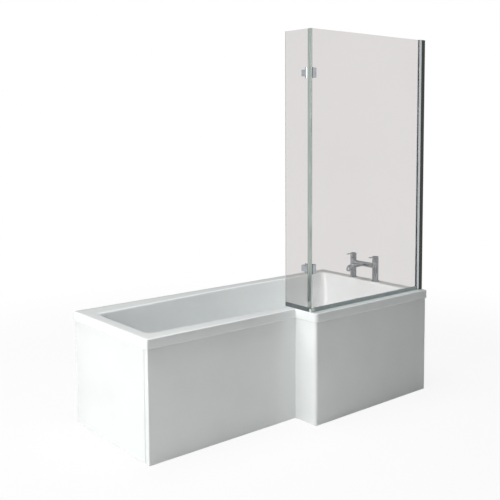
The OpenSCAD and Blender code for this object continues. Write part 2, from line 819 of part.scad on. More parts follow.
// Pipe that falls from the overflow, turns a corner and runs back under the floor to the waste
module overflow_pipe() {
    z_bend = port_z + pipe_bend;
    x_start = waste_x + body_r + 1;
    color("lightgray") translate([0, tap_y, 0]) {
        translate([pipe_x, 0, z_bend]) ring(pipe_r, pipe_r - pipe_wall, pipe_top - 4 - z_bend);
        translate([x_start, 0, port_z]) rotate([0, 90, 0])
            ring(pipe_r, pipe_r - pipe_wall, pipe_x - pipe_bend - x_start);
        translate([pipe_x - pipe_bend, 0, z_bend]) rotate([90, 0, 0]) rotate([0, 0, -90])
            rotate_extrude(angle = 90) translate([pipe_bend, 0]) difference() {
                circle(pipe_r);
                circle(pipe_r - pipe_wall);
            }
    }
}

// Worm-drive clips that hold the pipe's ends in their spigots
module overflow_clips() {
    color("silver") {
        translate([pipe_x, tap_y, pipe_top - spigot_l + 2])
            ring(pipe_r + 4.2, pipe_r + 3 + run_gap, clip_band);
        translate([waste_x + body_r + 3, tap_y, port_z]) rotate([0, 90, 0])
            ring(pipe_r + 5.2, pipe_r + 4 + run_gap, clip_band);
    }
}

// Both pillars, the bridge between them and their threaded tails, with their waterways
module filler_body() {
    z_mid = rim_h + bridge_z;
    color("silver") difference() {
        union() {
            for (y = TAP_Y) translate([tap_x, y, 0]) {
                translate([0, 0, rim_h + base_h]) cylinder(r = pillar_r, h = pillar_h - base_h);
                translate([0, 0, rim_h - tail_l]) cylinder(r = tail_r, h = tail_l + base_h + 1);
            }
            translate([tap_x, TAP_Y[0], z_mid]) rotate([-90, 0, 0]) linear_extrude(tap_pitch)
                round_rect(-bridge_w / 2, -bridge_h / 2, bridge_w / 2, bridge_h / 2, 8);
        }
        for (y = TAP_Y) translate([tap_x, y, 0]) {
            translate([0, 0, top_z - bore_h]) cylinder(r = bore_r, h = bore_h + 1);
            translate([0, 0, rim_h - tail_l - 1]) cylinder(r = water_r, h = tail_l + pillar_h);
            translate([0, 0, groove_z]) ring(tail_r + 1, tail_r - groove_depth, groove);
        }
        translate([tap_x, TAP_Y[0], z_mid]) rotate([-90, 0, 0]) cylinder(r = water_r, h = tap_pitch);
        translate([tap_x, tap_y, z_mid]) rotate([0, -90, 0]) cylinder(r = water_r, h = bridge_w);
    }
}

// Spout from the bridge's middle over the basin, turned down at its tip
module filler_spout() {
    z_mid = rim_h + bridge_z;
    run = spout_l - bridge_w / 2 - spout_bend;
    color("silver") translate([tap_x - bridge_w / 2, tap_y, z_mid]) difference() {
        union() {
            rotate([0, -90, 0]) linear_extrude(run) spout_section(spout_w, spout_h);
            translate([-run, 0, -spout_bend]) rotate([90, 0, 0]) rotate([0, 0, 90])
                rotate_extrude(angle = 90) translate([spout_bend, 0]) spout_section(spout_w, spout_h);
            translate([-run - spout_bend, 0, -spout_bend - spout_tip]) linear_extrude(spout_tip)
                spout_section(spout_w, spout_h);
        }
        translate([1, 0, 0]) rotate([0, -90, 0]) cylinder(r = water_r, h = run + 1);
        translate([-run, 0, -spout_bend]) rotate([90, 0, 0]) rotate([0, 0, 90])
            rotate_extrude(angle = 90) translate([spout_bend, 0]) circle(water_r);
        translate([-run - spout_bend, 0, -spout_bend - spout_tip - 1])
            cylinder(r = water_r, h = spout_tip + 1);
    }
}

module spout_section(w, h) {
    round_rect(-h / 2, -w / 2, h / 2, w / 2, h / 2 - 2);
}

module aerator() {
    x = tap_x - spout_l;
    color("dimgray") translate([x, tap_y, rim_h + bridge_z - spout_bend - spout_tip - aerator_h])
        ring(min(aerator_r, spout_h / 2 - 0.5), water_r - 2, aerator_h);
}

module tap_flanges() {
    color("silver") for (y = TAP_Y) translate([tap_x, y, rim_h]) difference() {
        union() {
            cylinder(r = base_r, h = base_h * 0.6);
            cylinder(r1 = base_r, r2 = pillar_r + 1, h = base_h);
        }
        translate([0, 0, -1]) cylinder(r = tail_r + fit_gap, h = base_h + 2);
    }
}

module tap_washers() {
    color("black") for (y = TAP_Y) translate([tap_x, y, deck_z - washer_t])
        ring(tail_r + 6, tail_r + fit_gap, washer_t);
}

module tap_backnuts() {
    color("goldenrod") for (y = TAP_Y) translate([tap_x, y, deck_z - washer_t - backnut_h]) difference() {
        cylinder(r = tail_r + 7.5, h = backnut_h, $fn = 6);
        translate([0, 0, -1]) cylinder(r = tail_r + fit_gap, h = backnut_h + 2);
    }
}

// Quarter-turn valves in the pillars, bored for their spindles and ported to the bridge
module headworks() {
    color("goldenrod") for (y = TAP_Y) translate([tap_x, y, 0]) difference() {
        union() {
            translate([0, 0, top_z - bore_h + 1]) cylinder(r = bore_r - fit_gap, h = bore_h - 1);
            translate([0, 0, top_z - 1]) cylinder(r = bore_r - 2, h = headwork_top + 1);
        }
        translate([0, 0, spindle_z]) cylinder(r = spindle_r + run_gap, h = bore_h + headwork_top);
        translate([0, 0, top_z - bore_h]) cylinder(r = water_r, h = rim_h + bridge_z - top_z + bore_h);
        translate([0, -bore_r, rim_h + bridge_z]) rotate([-90, 0, 0])
            cylinder(r = water_r - 1, h = 2 * bore_r);
    }
}

module spindle(y) {
    color("goldenrod") translate([tap_x, y, spindle_z + 1])
        cylinder(r = spindle_r, h = top_z + cap_h - cap_wall - 2 - spindle_z - 1);
}

// Cap over a valve with a flat blade that points at the bather
module lever(y) {
    z_cap = top_z + cap_gap;
    color("silver") translate([tap_x, y, z_cap]) difference() {
        union() {
            cylinder(r = pillar_r, h = cap_h - cap_gap - 3);
            translate([0, 0, cap_h - cap_gap - 3]) cylinder(r1 = pillar_r, r2 = pillar_r - 4, h = 3);
            translate([0, 0, cap_h - cap_gap - 2 - lever_t]) linear_extrude(lever_t)
                round_rect(-lever_l, -lever_w / 2, 0, lever_w / 2, 4);
        }
        translate([0, 0, -1]) cylinder(r = bore_r, h = headwork_top + 3);
        translate([0, 0, -1]) cylinder(r = spindle_r + fit_gap, h = cap_h - cap_gap - cap_wall + 1);
    }
}

// U-channel against the wall, open towards the glass
module wall_channel() {
    color("dimgray") difference() {
        block([x_tap - channel_d, channel_mid - channel_w / 2, rim_h],
            [x_tap, channel_mid + channel_w / 2, glass_top]);
        block([x_tap - channel_d - 1, channel_mid - channel_w / 2 + channel_t, rim_h - 1],
            [x_tap - channel_t, channel_mid + channel_w / 2 - channel_t, glass_top + 1]);
        for (z = CHANNEL_HOLES) translate([x_tap - channel_t - 1, channel_mid, z]) rotate([0, 90, 0])
            cylinder(r = channel_hole_r, h = channel_t + 2);
        for (z = PROFILE_SCREWS) translate([profile_screw_x, channel_mid + channel_w / 2 + 1, z])
            rotate([90, 0, 0]) cylinder(r = profile_screw_r + fit_gap, h = channel_t + 2);
    }
}

// Profile that slides in the wall channel to take up an uneven wall, with the glass in its pocket
module glazing_profile() {
    x_back = x_tap - channel_t - 8;
    color("gray") difference() {
        block([profile_x, channel_mid - profile_w / 2, rim_h + move_gap],
            [x_back, channel_mid + profile_w / 2, glass_top]);
        block([profile_x - 1, channel_mid - pocket_half, rim_h - 1],
            [profile_x + pocket_d, channel_mid + pocket_half, glass_top + 1]);
        block([profile_x + pocket_d + 2, channel_mid - profile_w / 2 + 1.5, rim_h - 1],
            [x_back + 1, channel_mid + profile_w / 2 - 1.5, glass_top + 1]);
        for (z = PROFILE_SCREWS) translate([profile_screw_x, channel_mid + profile_w / 2 + 1, z])
            rotate([90, 0, 0]) cylinder(r = profile_screw_r + fit_gap, h = 4);
    }
}

module glazing_gasket() {
    color("black") difference() {
        block([profile_x + 1, channel_mid - rubber_half, glass_z],
            [profile_x + pocket_d - 1, channel_mid + rubber_half, glass_top - 1]);
        block([profile_x, channel_mid - glass_t / 2 - fit_gap, glass_z - 1],
            [glass_end + fit_gap, channel_mid + glass_t / 2 + fit_gap, glass_top]);
    }
}

module profile_screws() {
    face = channel_mid + channel_w / 2;
    color("silver") for (z = PROFILE_SCREWS) translate([profile_screw_x, face, z]) rotate([90, 0, 0]) {
        translate([0, 0, -2]) cylinder(r = profile_screw_r + 2, h = 2);
        cylinder(r = profile_screw_r, h = 7);
    }
}

module channel_cap() {
    color("dimgray") block([profile_x, channel_mid - channel_w / 2, glass_top],
        [x_tap, channel_mid + channel_w / 2, screen_top]);
}

// Places its children at the screen's corner
module at_corner(z) {
    translate([screen_x, screen_y, z]) children();
}

module main_glass() {
    color("lightgray", 0.4) difference() {
        block([screen_x, screen_y, glass_z], [glass_end, screen_y + glass_t, glass_top]);
        for (z = HINGE_Z) at_corner(z) {
            block([-1, -1, -notch_h / 2], [core_u + 1, glass_t + 1, notch_h / 2]);
            for (dz = [-1, 1]) translate([bracket_screw_u, -1, dz * bracket_screw_dz]) rotate([-90, 0, 0])
                cylinder(r = glass_hole_r, h = glass_t + 2);
        }
    }
}

module return_glass() {
    color("lightgray", 0.4) difference() {
        at_corner(0) block([0, return_edge, glass_z], [glass_t, return_l, glass_top]);
        for (z = HINGE_Z) at_corner(z) {
            block([-1, return_edge - 1, -notch_h / 2], [glass_t + 1, leaf_notch, notch_h / 2]);
            for (dz = [-1, 1]) translate([-1, leaf_screw_v, dz * leaf_screw_dz]) rotate([0, 90, 0])
                cylinder(r = glass_hole_r, h = glass_t + 2);
        }
    }
}

module main_bottom_seal() {
    z = rim_h;
    color("darkslategray") difference() {
        block([screen_x + foot_l + 1, screen_y - seal_t, z],
            [profile_x - move_gap, screen_y + glass_t + seal_t, z + seal_h]);
        block([screen_x, screen_y - fit_gap, glass_z - fit_gap],
            [profile_x + 1, screen_y + glass_t + fit_gap, z + seal_h + 1]);
    }
}

module return_bottom_seal() {
    z = rim_h + move_gap;
    color("darkslategray") at_corner(0) difference() {
        block([-seal_t, return_edge, z], [glass_t + seal_t, return_l, z + seal_h]);
        block([-fit_gap, return_edge - 1, glass_z - fit_gap],
            [glass_t + fit_gap, return_l + 1, z + seal_h + 1]);
    }
}

// Heights between the hinges' notches, as pairs
CLEAR_Z = [
    [rim_h + seal_h + 1, HINGE_Z[0] - notch_h / 2],
    [HINGE_Z[0] + notch_h / 2, HINGE_Z[1] - notch_h / 2],
    [HINGE_Z[1] + notch_h / 2, glass_top]];

// Angle strip on the main panel's end: it covers the corner gap and stops the return panel
module corner_strip() {
    z_foot = rim_h + foot_h + move_gap;
    color("dimgray") at_corner(0) {
        block([-strip_out, -strip_out, z_foot], [-strip_gap, strip_return, glass_top]);
        block([-strip_out, -strip_out, z_foot], [strip_main, -strip_gap, glass_top]);
        for (z = CLEAR_Z) difference() {
            block([-strip_gap - join, -strip_gap - join, z[0]], [strip_main, glass_t + seal_t, z[1]]);
            block([-fit_gap, -fit_gap, z[0] - 1], [strip_main + 1, glass_t + fit_gap, z[1] + 1]);
        }
    }
}

// Small rounded foot under the corner strip that carries the main panel's corner
module corner_foot() {
    color("white") at_corner(0) difference() {
        translate([0, 0, rim_h]) linear_extrude(foot_h)
            round_rect(-strip_out - 2, -strip_out - 2, foot_l, foot_v, 4);
        block([-fit_gap, -fit_gap, glass_z - fit_gap], [foot_l + 1, glass_t + fit_gap, rim_h + foot_h + 1]);
    }
}

// Lips on the return panel's front edge
module return_edge_seal() {
    color("darkslategray") at_corner(0) for (z = CLEAR_Z) difference() {
        block([-seal_t + move_gap, return_edge - seal_t, z[0]],
            [glass_t + seal_t - move_gap, return_edge + 9, z[1]]);
        block([-fit_gap, return_edge - fit_gap, z[0] - 1], [glass_t + fit_gap, return_edge + 10, z[1] + 1]);
    }
}

// Bracket on the main panel, with the ears that hold the pin
module hinge_bracket(z) {
    color("silver") at_corner(z) difference() {
        union() {
            block([plate_u, -pad_t - plate_t, -hinge_h / 2], [bracket_l, -pad_t, hinge_h / 2]);
            block([move_gap, -pad_t - 0.01, -hinge_h / 2], [core_u, glass_t + pad_t, hinge_h / 2]);
            block([move_gap, glass_t, -hinge_h / 2], [block_u, plate_v, hinge_h / 2]);
            for (s = [-1, 1]) {
                ear_z = s > 0 ? hinge_h / 2 - ear_t : -hinge_h / 2;
                translate([0, 0, ear_z]) {
                    translate([move_gap, plate_v - join, 0])
                        cube([block_u - move_gap, pivot_in - plate_v + join, ear_t]);
                    translate([pin_u, pivot_in, 0]) cylinder(r = barrel_r, h = ear_t);
                }
            }
        }
        translate([pin_u, pivot_in, -hinge_h]) cylinder(r = pin_r, h = 2 * hinge_h);
        for (dz = [-1, 1]) translate([bracket_screw_u, -pad_t - plate_t + 1.5, dz * bracket_screw_dz])
            rotate([-90, 0, 0]) cylinder(r = hinge_screw_r + run_gap, h = plate_t);
    }
}

// Leaf on the return panel, with the barrel that turns on the pin
module hinge_leaf(z) {
    color("silver") at_corner(z) difference() {
        translate([0, 0, -leaf_h / 2]) {
            translate([pin_u, pivot_in, 0]) cylinder(r = barrel_r, h = leaf_h);
            translate([pin_u - half_w, pivot_in, 0]) cube([2 * half_w, core_v - pivot_in, leaf_h]);
            translate([pin_u - half_w, pivot_in, 0]) cube([plate_t, leaf_l, leaf_h]);
        }
        translate([pin_u, pivot_in, -hinge_h]) cylinder(r = pin_r + run_gap, h = 2 * hinge_h);
        for (dz = [-1, 1]) translate([pin_u - half_w + 1.5, leaf_screw_v, dz * leaf_screw_dz])
            rotate([0, 90, 0]) cylinder(r = hinge_screw_r + run_gap, h = plate_t);
    }
}

module hinge_clamps() {
    color("silver") for (z = HINGE_Z) at_corner(z) difference() {
        block([block_u + 0.5, glass_t + pad_t, -hinge_h / 2], [bracket_l, plate_v, hinge_h / 2]);
        for (dz = [-1, 1]) translate([bracket_screw_u, glass_t, dz * bracket_screw_dz]) rotate([-90, 0, 0])
            cylinder(r = hinge_screw_r + fit_gap, h = plate_t + 2);
    }
}

module leaf_clamps() {
    color("silver") for (z = HINGE_Z) at_corner(z) difference() {
        block([glass_t + pad_t, core_v + 0.5, -leaf_h / 2], [plate_v, leaf_end, leaf_h / 2]);
        for (dz = [-1, 1]) translate([glass_t, leaf_screw_v, dz * leaf_screw_dz]) rotate([0, 90, 0])
            cylinder(r = hinge_screw_r + fit_gap, h = plate_t + 2);
    }
}

module hinge_pins() {
    color("silver") for (z = HINGE_Z) at_corner(z) translate([pin_u, pivot_in, -hinge_h / 2])
        cylinder(r = pin_r, h = hinge_h);
}

// Screw from the inner face through a clamp and the glass into the outer plate, along local Z
module clamp_screw() {
    shank = plate_t + 2 * pad_t + glass_t + plate_t - 2;
    translate([0, 0, -shank]) cylinder(r = hinge_screw_r, h = shank);
    cylinder(r1 = head_r, r2 = head_r - 1.2, h = head_h);
}

module hinge_screws() {
    color("silver") for (z = HINGE_Z, dz = [-1, 1]) at_corner(z)
        translate([bracket_screw_u, plate_v, dz * bracket_screw_dz]) rotate([-90, 0, 0]) clamp_screw();
}

module leaf_screws() {
    color("silver") for (z = HINGE_Z, dz = [-1, 1]) at_corner(z)
        translate([plate_v, leaf_screw_v, dz * leaf_screw_dz]) rotate([0, 90, 0]) clamp_screw();
}

module hinge_gaskets() {
    color("black") for (z = HINGE_Z) at_corner(z) for (v = [-pad_t, glass_t]) difference() {
        block([core_u + 1.5, v, -hinge_h / 2], [bracket_l, v + pad_t, hinge_h / 2]);
        for (dz = [-1, 1]) translate([bracket_screw_u, v - 1, dz * bracket_screw_dz]) rotate([-90, 0, 0])
            cylinder(r = hinge_screw_r + fit_gap, h = 3);
    }
}

module leaf_gaskets() {
    color("black") for (z = HINGE_Z) at_corner(z) for (u = [-pad_t, glass_t]) difference() {
        block([u, leaf_notch + 0.5, -leaf_h / 2], [u + pad_t, leaf_end, leaf_h / 2]);
        for (dz = [-1, 1]) translate([u - 1, leaf_screw_v, dz * leaf_screw_dz]) rotate([0, 90, 0])
            cylinder(r = hinge_screw_r + fit_gap, h = 3);
    }
}

bath_shell();
base_board();
rim_battens();
support_rails();
rail_screws();
foot_studs();
foot_nuts();
foot_pads();
wall_hangers();
front_panel();
end_panel();
panel_clips();
plinth_battens();
waste_flange();
waste_gasket();
waste_body();
waste_plug();
plug_seal();
trap_nuts();
bath_trap();
overflow_plate();
overflow_knob();
overflow_gasket();
overflow_body();
overflow_pipe();
overflow_clips();
filler_body();
filler_spout();
aerator();
tap_flanges();
tap_washers();
tap_backnuts();
headworks();
spindle(TAP_Y[1]);  // back_spindle
spindle(TAP_Y[0]);  // front_spindle
lever(TAP_Y[1]);  // back_lever
lever(TAP_Y[0]);  // front_lever
wall_channel();
glazing_profile();
glazing_gasket();
profile_screws();
channel_cap();
main_glass();
main_bottom_seal();
corner_strip();
corner_foot();
return_glass();
return_bottom_seal();
return_edge_seal();
hinge_bracket(HINGE_Z[0]);  // lower_hinge_bracket
hinge_bracket(HINGE_Z[1]);  // upper_hinge_bracket
hinge_leaf(HINGE_Z[0]);  // lower_hinge_leaf
hinge_leaf(HINGE_Z[1]);  // upper_hinge_leaf
hinge_clamps();
leaf_clamps();
hinge_pins();
hinge_screws();
leaf_screws();
hinge_gaskets();
leaf_gaskets();
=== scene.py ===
"""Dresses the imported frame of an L-shaped shower bath and sets up its studio picture.

Sizes are in millimetres until a mesh is made, in the frame of the CAD model: the origin is on the
floor under the middle of the outline, +X runs to the tap end, +Y to the long wall and +Z up.
"""

import json
import logging
import math
from dataclasses import dataclass, field
from enum import Enum
from typing import Any, Callable, Optional, Sequence

import bmesh
import bpy
import numpy as np
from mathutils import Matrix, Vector

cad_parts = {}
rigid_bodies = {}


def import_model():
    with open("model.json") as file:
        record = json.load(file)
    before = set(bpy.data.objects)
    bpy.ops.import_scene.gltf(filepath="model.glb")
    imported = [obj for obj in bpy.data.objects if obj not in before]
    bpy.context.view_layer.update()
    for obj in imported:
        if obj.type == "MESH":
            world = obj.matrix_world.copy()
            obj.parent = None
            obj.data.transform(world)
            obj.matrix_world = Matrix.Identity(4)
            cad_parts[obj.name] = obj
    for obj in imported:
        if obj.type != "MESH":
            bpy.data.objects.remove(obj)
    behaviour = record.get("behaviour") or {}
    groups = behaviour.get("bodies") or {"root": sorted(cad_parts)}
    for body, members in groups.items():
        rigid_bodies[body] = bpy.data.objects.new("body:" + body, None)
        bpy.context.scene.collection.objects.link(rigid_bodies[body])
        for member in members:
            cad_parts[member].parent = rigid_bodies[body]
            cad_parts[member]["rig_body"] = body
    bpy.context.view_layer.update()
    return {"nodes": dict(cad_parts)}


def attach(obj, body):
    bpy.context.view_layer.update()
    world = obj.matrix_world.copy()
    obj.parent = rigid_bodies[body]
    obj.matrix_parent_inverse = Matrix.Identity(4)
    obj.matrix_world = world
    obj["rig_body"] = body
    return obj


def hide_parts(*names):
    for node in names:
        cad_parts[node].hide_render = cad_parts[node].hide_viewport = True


LOG = logging.getLogger("shower_bath")
MM = 0.001
Array = np.ndarray
Node = bpy.types.Node
Socket = bpy.types.NodeSocket
Tree = bpy.types.NodeTree
UP = (0.0, 0.0, 1.0)


def unit(vector: Array) -> Array:
    """Vectors divided by their lengths, along the last axis."""
    vector = np.asarray(vector, float)
    return vector / np.linalg.norm(vector, axis=-1, keepdims=True)


def spaced(low: float, high: float, count: int) -> Array:
    """Count numbers from low to high, with both ends."""
    return np.linspace(low, high, count)


def placed(points: Array, at: Sequence[float], up: Sequence[float] = UP,
           along: Sequence[float] = (1, 0, 0)) -> Array:
    """Turns points out of their own frame and moves them.

    The own Z axis goes to up, the own X axis to the part of along that is square to up, and the
    own Y axis to up x along.

    Args:
        points: Points in their own frame, in the last axis.
        at: Where the own origin goes.
        up: Where the own Z axis points.
        along: Roughly where the own X axis points.

    Returns:
        The points in the frame of the bath.
    """
    z = unit(up)
    x = unit(np.asarray(along, float) - np.dot(along, z) * z)
    return points @ np.stack([x, np.cross(z, x), z]) + np.asarray(at, float)


def turned(corners: Array, amount: float) -> Array:
    """Corners of a counter-clockwise polygon, moved in by amount along both of their edges.

    A corner c with unit inward normals m and n of its two edges goes to
    c + amount (m + n) / (1 + m.n).

    Args:
        corners: Corners as (k, 2).
        amount: How far each edge moves in, negative for out.

    Returns:
        The moved corners, as (k, 2).
    """
    ahead = unit(np.roll(corners, -1, 0) - corners)
    behind = np.roll(ahead, 1, 0)
    m = np.stack([-behind[:, 1], behind[:, 0]], -1)
    n = np.stack([-ahead[:, 1], ahead[:, 0]], -1)
    return corners + amount * (m + n) / (1 + (m * n).sum(-1, keepdims=True))


def rounded(corners: Array, radii: Array, arc: int = 6, side: int = 0) -> Array:
    """Closed plan loop with an arc at each corner.

    Between unit edges a and b that turn by T, the arc starts R tan(T/2) before the corner, and its
    point at angle t is start + R (n (1 - cos t) + a sin t), with n the normal on the turn's side.
    Where the loop runs straight on, the points of the arc are spread over R each way.

    Args:
        corners: Corners as (k, 2), in order.
        radii: Radius at each corner.
        arc: Points on each arc.
        side: Points on each straight side, between two arcs.

    Returns:
        The loop as (k (arc + side), 2).
    """
    corners = np.asarray(corners, float)
    radii = np.broadcast_to(np.asarray(radii, float), (len(corners),))[:, None]
    ahead = unit(np.roll(corners, -1, 0) - corners)
    a = np.roll(ahead, 1, 0)
    turn = np.arctan2(a[:, 0] * ahead[:, 1] - a[:, 1] * ahead[:, 0], (a * ahead).sum(-1))[:, None]
    straight = np.abs(turn) < 1e-4
    reach = np.where(straight, radii, radii * np.tan(np.abs(turn) / 2))
    start = corners - a * reach
    n = np.stack([-a[:, 1], a[:, 0]], -1) * np.sign(turn)
    s = spaced(0, 1, arc)
    angle = np.abs(turn) * s
    bent = radii[..., None] * (n[:, None] * (1 - np.cos(angle))[..., None]
                               + a[:, None] * np.sin(angle)[..., None])
    run = 2 * radii[..., None] * a[:, None] * s[None, :, None]
    arcs = start[:, None] + np.where(straight[..., None], run, bent)
    t = (np.arange(side) + 1.0) / (side + 1)
    leave = arcs[:, -1:]
    meet = np.roll(arcs, -1, 0)[:, :1]
    sides = leave + (meet - leave) * t[None, :, None]
    return np.concatenate([arcs, sides], 1).reshape(-1, 2)


def rectangle(x_lo: float, x_hi: float, y_lo: float, y_hi: float) -> Array:
    """Corners of a rectangle, counter-clockwise."""
    return np.array([[x_lo, y_lo], [x_hi, y_lo], [x_hi, y_hi], [x_lo, y_hi]], float)


def at_height(loop: Array, z: Any) -> Array:
    """A plan loop lifted to a height, as (n, 3)."""
    return np.concatenate([loop, np.broadcast_to(np.asarray(z, float), loop.shape[:1])[:, None]], 1)


def circle(radius: float, sides: int = 48) -> Array:
    """Points round a circle, counter-clockwise, as (sides, 2)."""
    angle = np.arange(sides) * 2 * math.pi / sides
    return radius * np.stack([np.cos(angle), np.sin(angle)], -1)


def lathe(profile: Sequence[Sequence[float]], sides: int = 48) -> Array:
    """A profile of (radius, height) points turned about Z.

    Point (i, j) is (r_i cos a_j, r_i sin a_j, z_i), with a_j spread evenly round the circle.

    Args:
        profile: Points of the profile, from one end to the other.
        sides: Points round the axis.

    Returns:
        A grid as (points, sides, 3), closed in its second direction.
    """
    profile = np.asarray(profile, float)
    ring = circle(1.0, sides)
    flat = profile[:, :1, None] * ring[None]
    high = np.broadcast_to(profile[:, 1, None, None], flat.shape[:2] + (1,))
    return np.concatenate([flat, high], -1)


def eased(points: Sequence[Sequence[float]], radii: Sequence[float], steps: int = 4) -> Array:
    """An open line of points whose inner corners are rounded.

    The arc at a corner is the one that rounded() makes, and a radius of 0 keeps the corner.

    Args:
        points: Points as (k, 2).
        radii: Radius at each point; the two ends are kept as they are.
        steps: Points on each arc.

    Returns:
        The line as (n, 2).
    """
    points = np.asarray(points, float)
    kept = [points[:1]]
    for before, corner, after, radius in zip(points, points[1:], points[2:], radii[1:-1]):
        if radius <= 0:
            kept.append(corner[None])
            continue
        a = unit(corner - before)
        b = unit(after - corner)
        angle = math.atan2(a[0] * b[1] - a[1] * b[0], float(a @ b))
        n = np.array([-a[1], a[0]]) * math.copysign(1, angle)
        t = abs(angle) * spaced(0, 1, steps)[:, None]
        start = corner - a * radius * math.tan(abs(angle) / 2)
        kept.append(start + radius * (n * (1 - np.cos(t)) + a * np.sin(t)))
    kept.append(points[-1:])
    return np.concatenate(kept)


def swept(path: Array, section: Array, side: Sequence[float]) -> Array:
    """A flat section carried along a flat path.

    With unit tangent t and unit side s, a section point (p, q) goes to path + p (s x t) + q s.

    Args:
        path: Points of the path, as (n, 3).
        section: Points of the section, as (m, 2), or (n, m, 2) where it changes on the way.
        side: The direction square to the path's plane.

    Returns:
        A grid as (n, m, 3).
    """
    tangent = unit(np.gradient(path, axis=0))
    across = unit(np.asarray(side, float))
    normal = unit(np.cross(across, tangent))
    section = np.broadcast_to(section, (len(path),) + section.shape[-2:])
    return path[:, None] + section[..., :1] * normal[:, None] + section[..., 1:] * across


def bent_path(points: Sequence[Sequence[float]], radius: float, side: Sequence[float],
              steps: int = 10) -> Array:
    """A flat path in space through points, with the same bend at each inner point.

    The points are taken into the plane square to side, eased there, and taken back.

    Args:
        points: Points as (k, 3), all in one plane.
        radius: Radius of each bend.
        side: The direction square to the plane.
        steps: Points on each bend.

    Returns:
        The path as (n, 3).
    """
    points = np.asarray(points, float)
    z = unit(side)
    x = unit(points[1] - points[0])
    y = np.cross(z, x)
    flat = np.stack([(points - points[0]) @ x, (points - points[0]) @ y], -1)
    line = eased(flat, [radius] * len(points), steps)
    return points[0] + line[:, :1] * x + line[:, 1:] * y


@dataclass
class Skin:
    """Faces gathered from grids of points, in millimetres, until mesh() joins them.

    Attributes:
        points: The grids' points.
        faces: The faces, by their points' numbers.
        finishes: Which of the piece's finishes each face takes.
        count: How many points there are.
        same_point_m: Points nearer than this are joined.
        no_length_m: Edges shorter than this are taken out.
    """

    points: list[Array] = field(default_factory=list)
    faces: list[list[int]] = field(default_factory=list)
    finishes: list[int] = field(default_factory=list)
    count: int = 0
    same_point_m: float = 2e-6
    no_length_m: float = 1e-6

    def grid(self, points: Array, close_u: bool = False, close_v: bool = False,
             finish: int = 0) -> "Skin":
        """Adds a grid: face (i, j) joins points (i, j), (i + 1, j), (i + 1, j + 1) and (i, j + 1).

        Args:
            points: The grid as (u, v, 3).
            close_u: Whether the last row joins the first.
            close_v: Whether the last column joins the first.
            finish: Which of the piece's finishes the faces take.

        Returns:
            This skin.
        """
        rows, columns = points.shape[:2]
        index = np.arange(rows * columns).reshape(rows, columns) + self.count
        if close_u:
            index = np.concatenate([index, index[:1]], 0)
        if close_v:
            index = np.concatenate([index, index[:, :1]], 1)
        quads = np.stack([index[:-1, :-1], index[1:, :-1], index[1:, 1:], index[:-1, 1:]], -1)
        quads = quads.reshape(-1, 4)
        self.points.append(points.reshape(-1, 3))
        self.count += rows * columns
        self.faces += quads.tolist()
        self.finishes += [finish] * len(quads)
        return self

    def cap(self, ring: Array, finish: int = 0) -> "Skin":
        """Adds one flat face over a ring of points, as (n, 3)."""
        self.points.append(ring)
        self.faces.append(list(range(self.count, self.count + len(ring))))
        self.finishes.append(finish)
        self.count += len(ring)
        return self

    def tube(self, rings: Array, finish: int = 0) -> "Skin":
        """Adds a row of rings with a flat face over each end, as (u, v, 3)."""
        return self.grid(rings, close_v=True, finish=finish).cap(rings[0], finish).cap(
            rings[-1], finish)

    def copies(self, grid: Array, places: Sequence[Sequence[float]],
               close_u: bool = True) -> "Skin":
        """Adds a turned grid at each (x, y) place."""
        for x, y in places:
            self.grid(grid + [x, y, 0], close_u, close_v=True)
        return self

    def mesh(self, name: str, sharp: float = 35.0) -> bpy.types.Mesh:
        """Joins the grids where they meet, turns every face outwards and shades them smooth.

        Args:
            name: Name of the mesh.
            sharp: Angle in degrees past which an edge stays sharp.

        Returns:
            The mesh, in metres.
        """
        mesh = bpy.data.meshes.new(name)
        mesh.from_pydata((np.concatenate(self.points) * MM).tolist(), [], self.faces)
        mesh.polygons.foreach_set("material_index", self.finishes)
        work = bmesh.new()
        work.from_mesh(mesh)
        bmesh.ops.remove_doubles(work, verts=work.verts, dist=self.same_point_m)
        bmesh.ops.dissolve_degenerate(work, edges=work.edges, dist=self.no_length_m)
        bmesh.ops.recalc_face_normals(work, faces=work.faces)
        work.to_mesh(mesh)
        work.free()
        mesh.shade_smooth()
        mesh.set_sharp_from_angle(angle=math.radians(sharp))
        return mesh


def slab(corners: Array, radii: Any, low: float, high: float, edge: float, arc: int = 5,
         steps: int = 3) -> Array:
    """Rings of a plate with rounded corners in plan and rounded edges.

    Ring k of an edge stands in by edge (1 - sin a) and away from the face by edge (1 - cos a), for
    a from 0 to 90 degrees, and its corners keep their centres.

    Args:
        corners: Corners of the plan, counter-clockwise, as (k, 2).
        radii: Plan radius of each corner.
        low: Height of the lower face.
        high: Height of the upper face.
        edge: Radius of the edges.
        arc: Points on each corner.
        steps: Rings on each edge.

    Returns:
        The rings as (2 steps, n, 3), for Skin.tube.
    """
    radii = np.broadcast_to(np.asarray(radii, float), (len(corners),))
    ahead = unit(np.roll(corners, -1, 0) - corners)
    behind = np.roll(ahead, 1, 0)
    outward = np.sign(behind[:, 0] * ahead[:, 1] - behind[:, 1] * ahead[:, 0])
    rings = []
    for a in spaced(0, math.pi / 2, steps):
        inset = edge * (1 - math.sin(a))
        plan = rounded(turned(corners, inset), np.maximum(radii - outward * inset, 0.2), arc)
        rings.append(at_height(plan, low + edge * (1 - math.cos(a))))
    top = [ring * [1, 1, -1] + [0, 0, low + high] for ring in reversed(rings)]
    return np.stack(rings + top)


def ring(radius: float, bore: float, low: float, high: float, edge: float, sides: int,
         steps: int = 3) -> Array:
    """A turned ring with eased outer edges, as a grid that closes in both directions."""
    return lathe(eased([[bore, low], [radius, low], [radius, high], [bore, high]],
                       [0, edge, edge, 0], steps), sides)


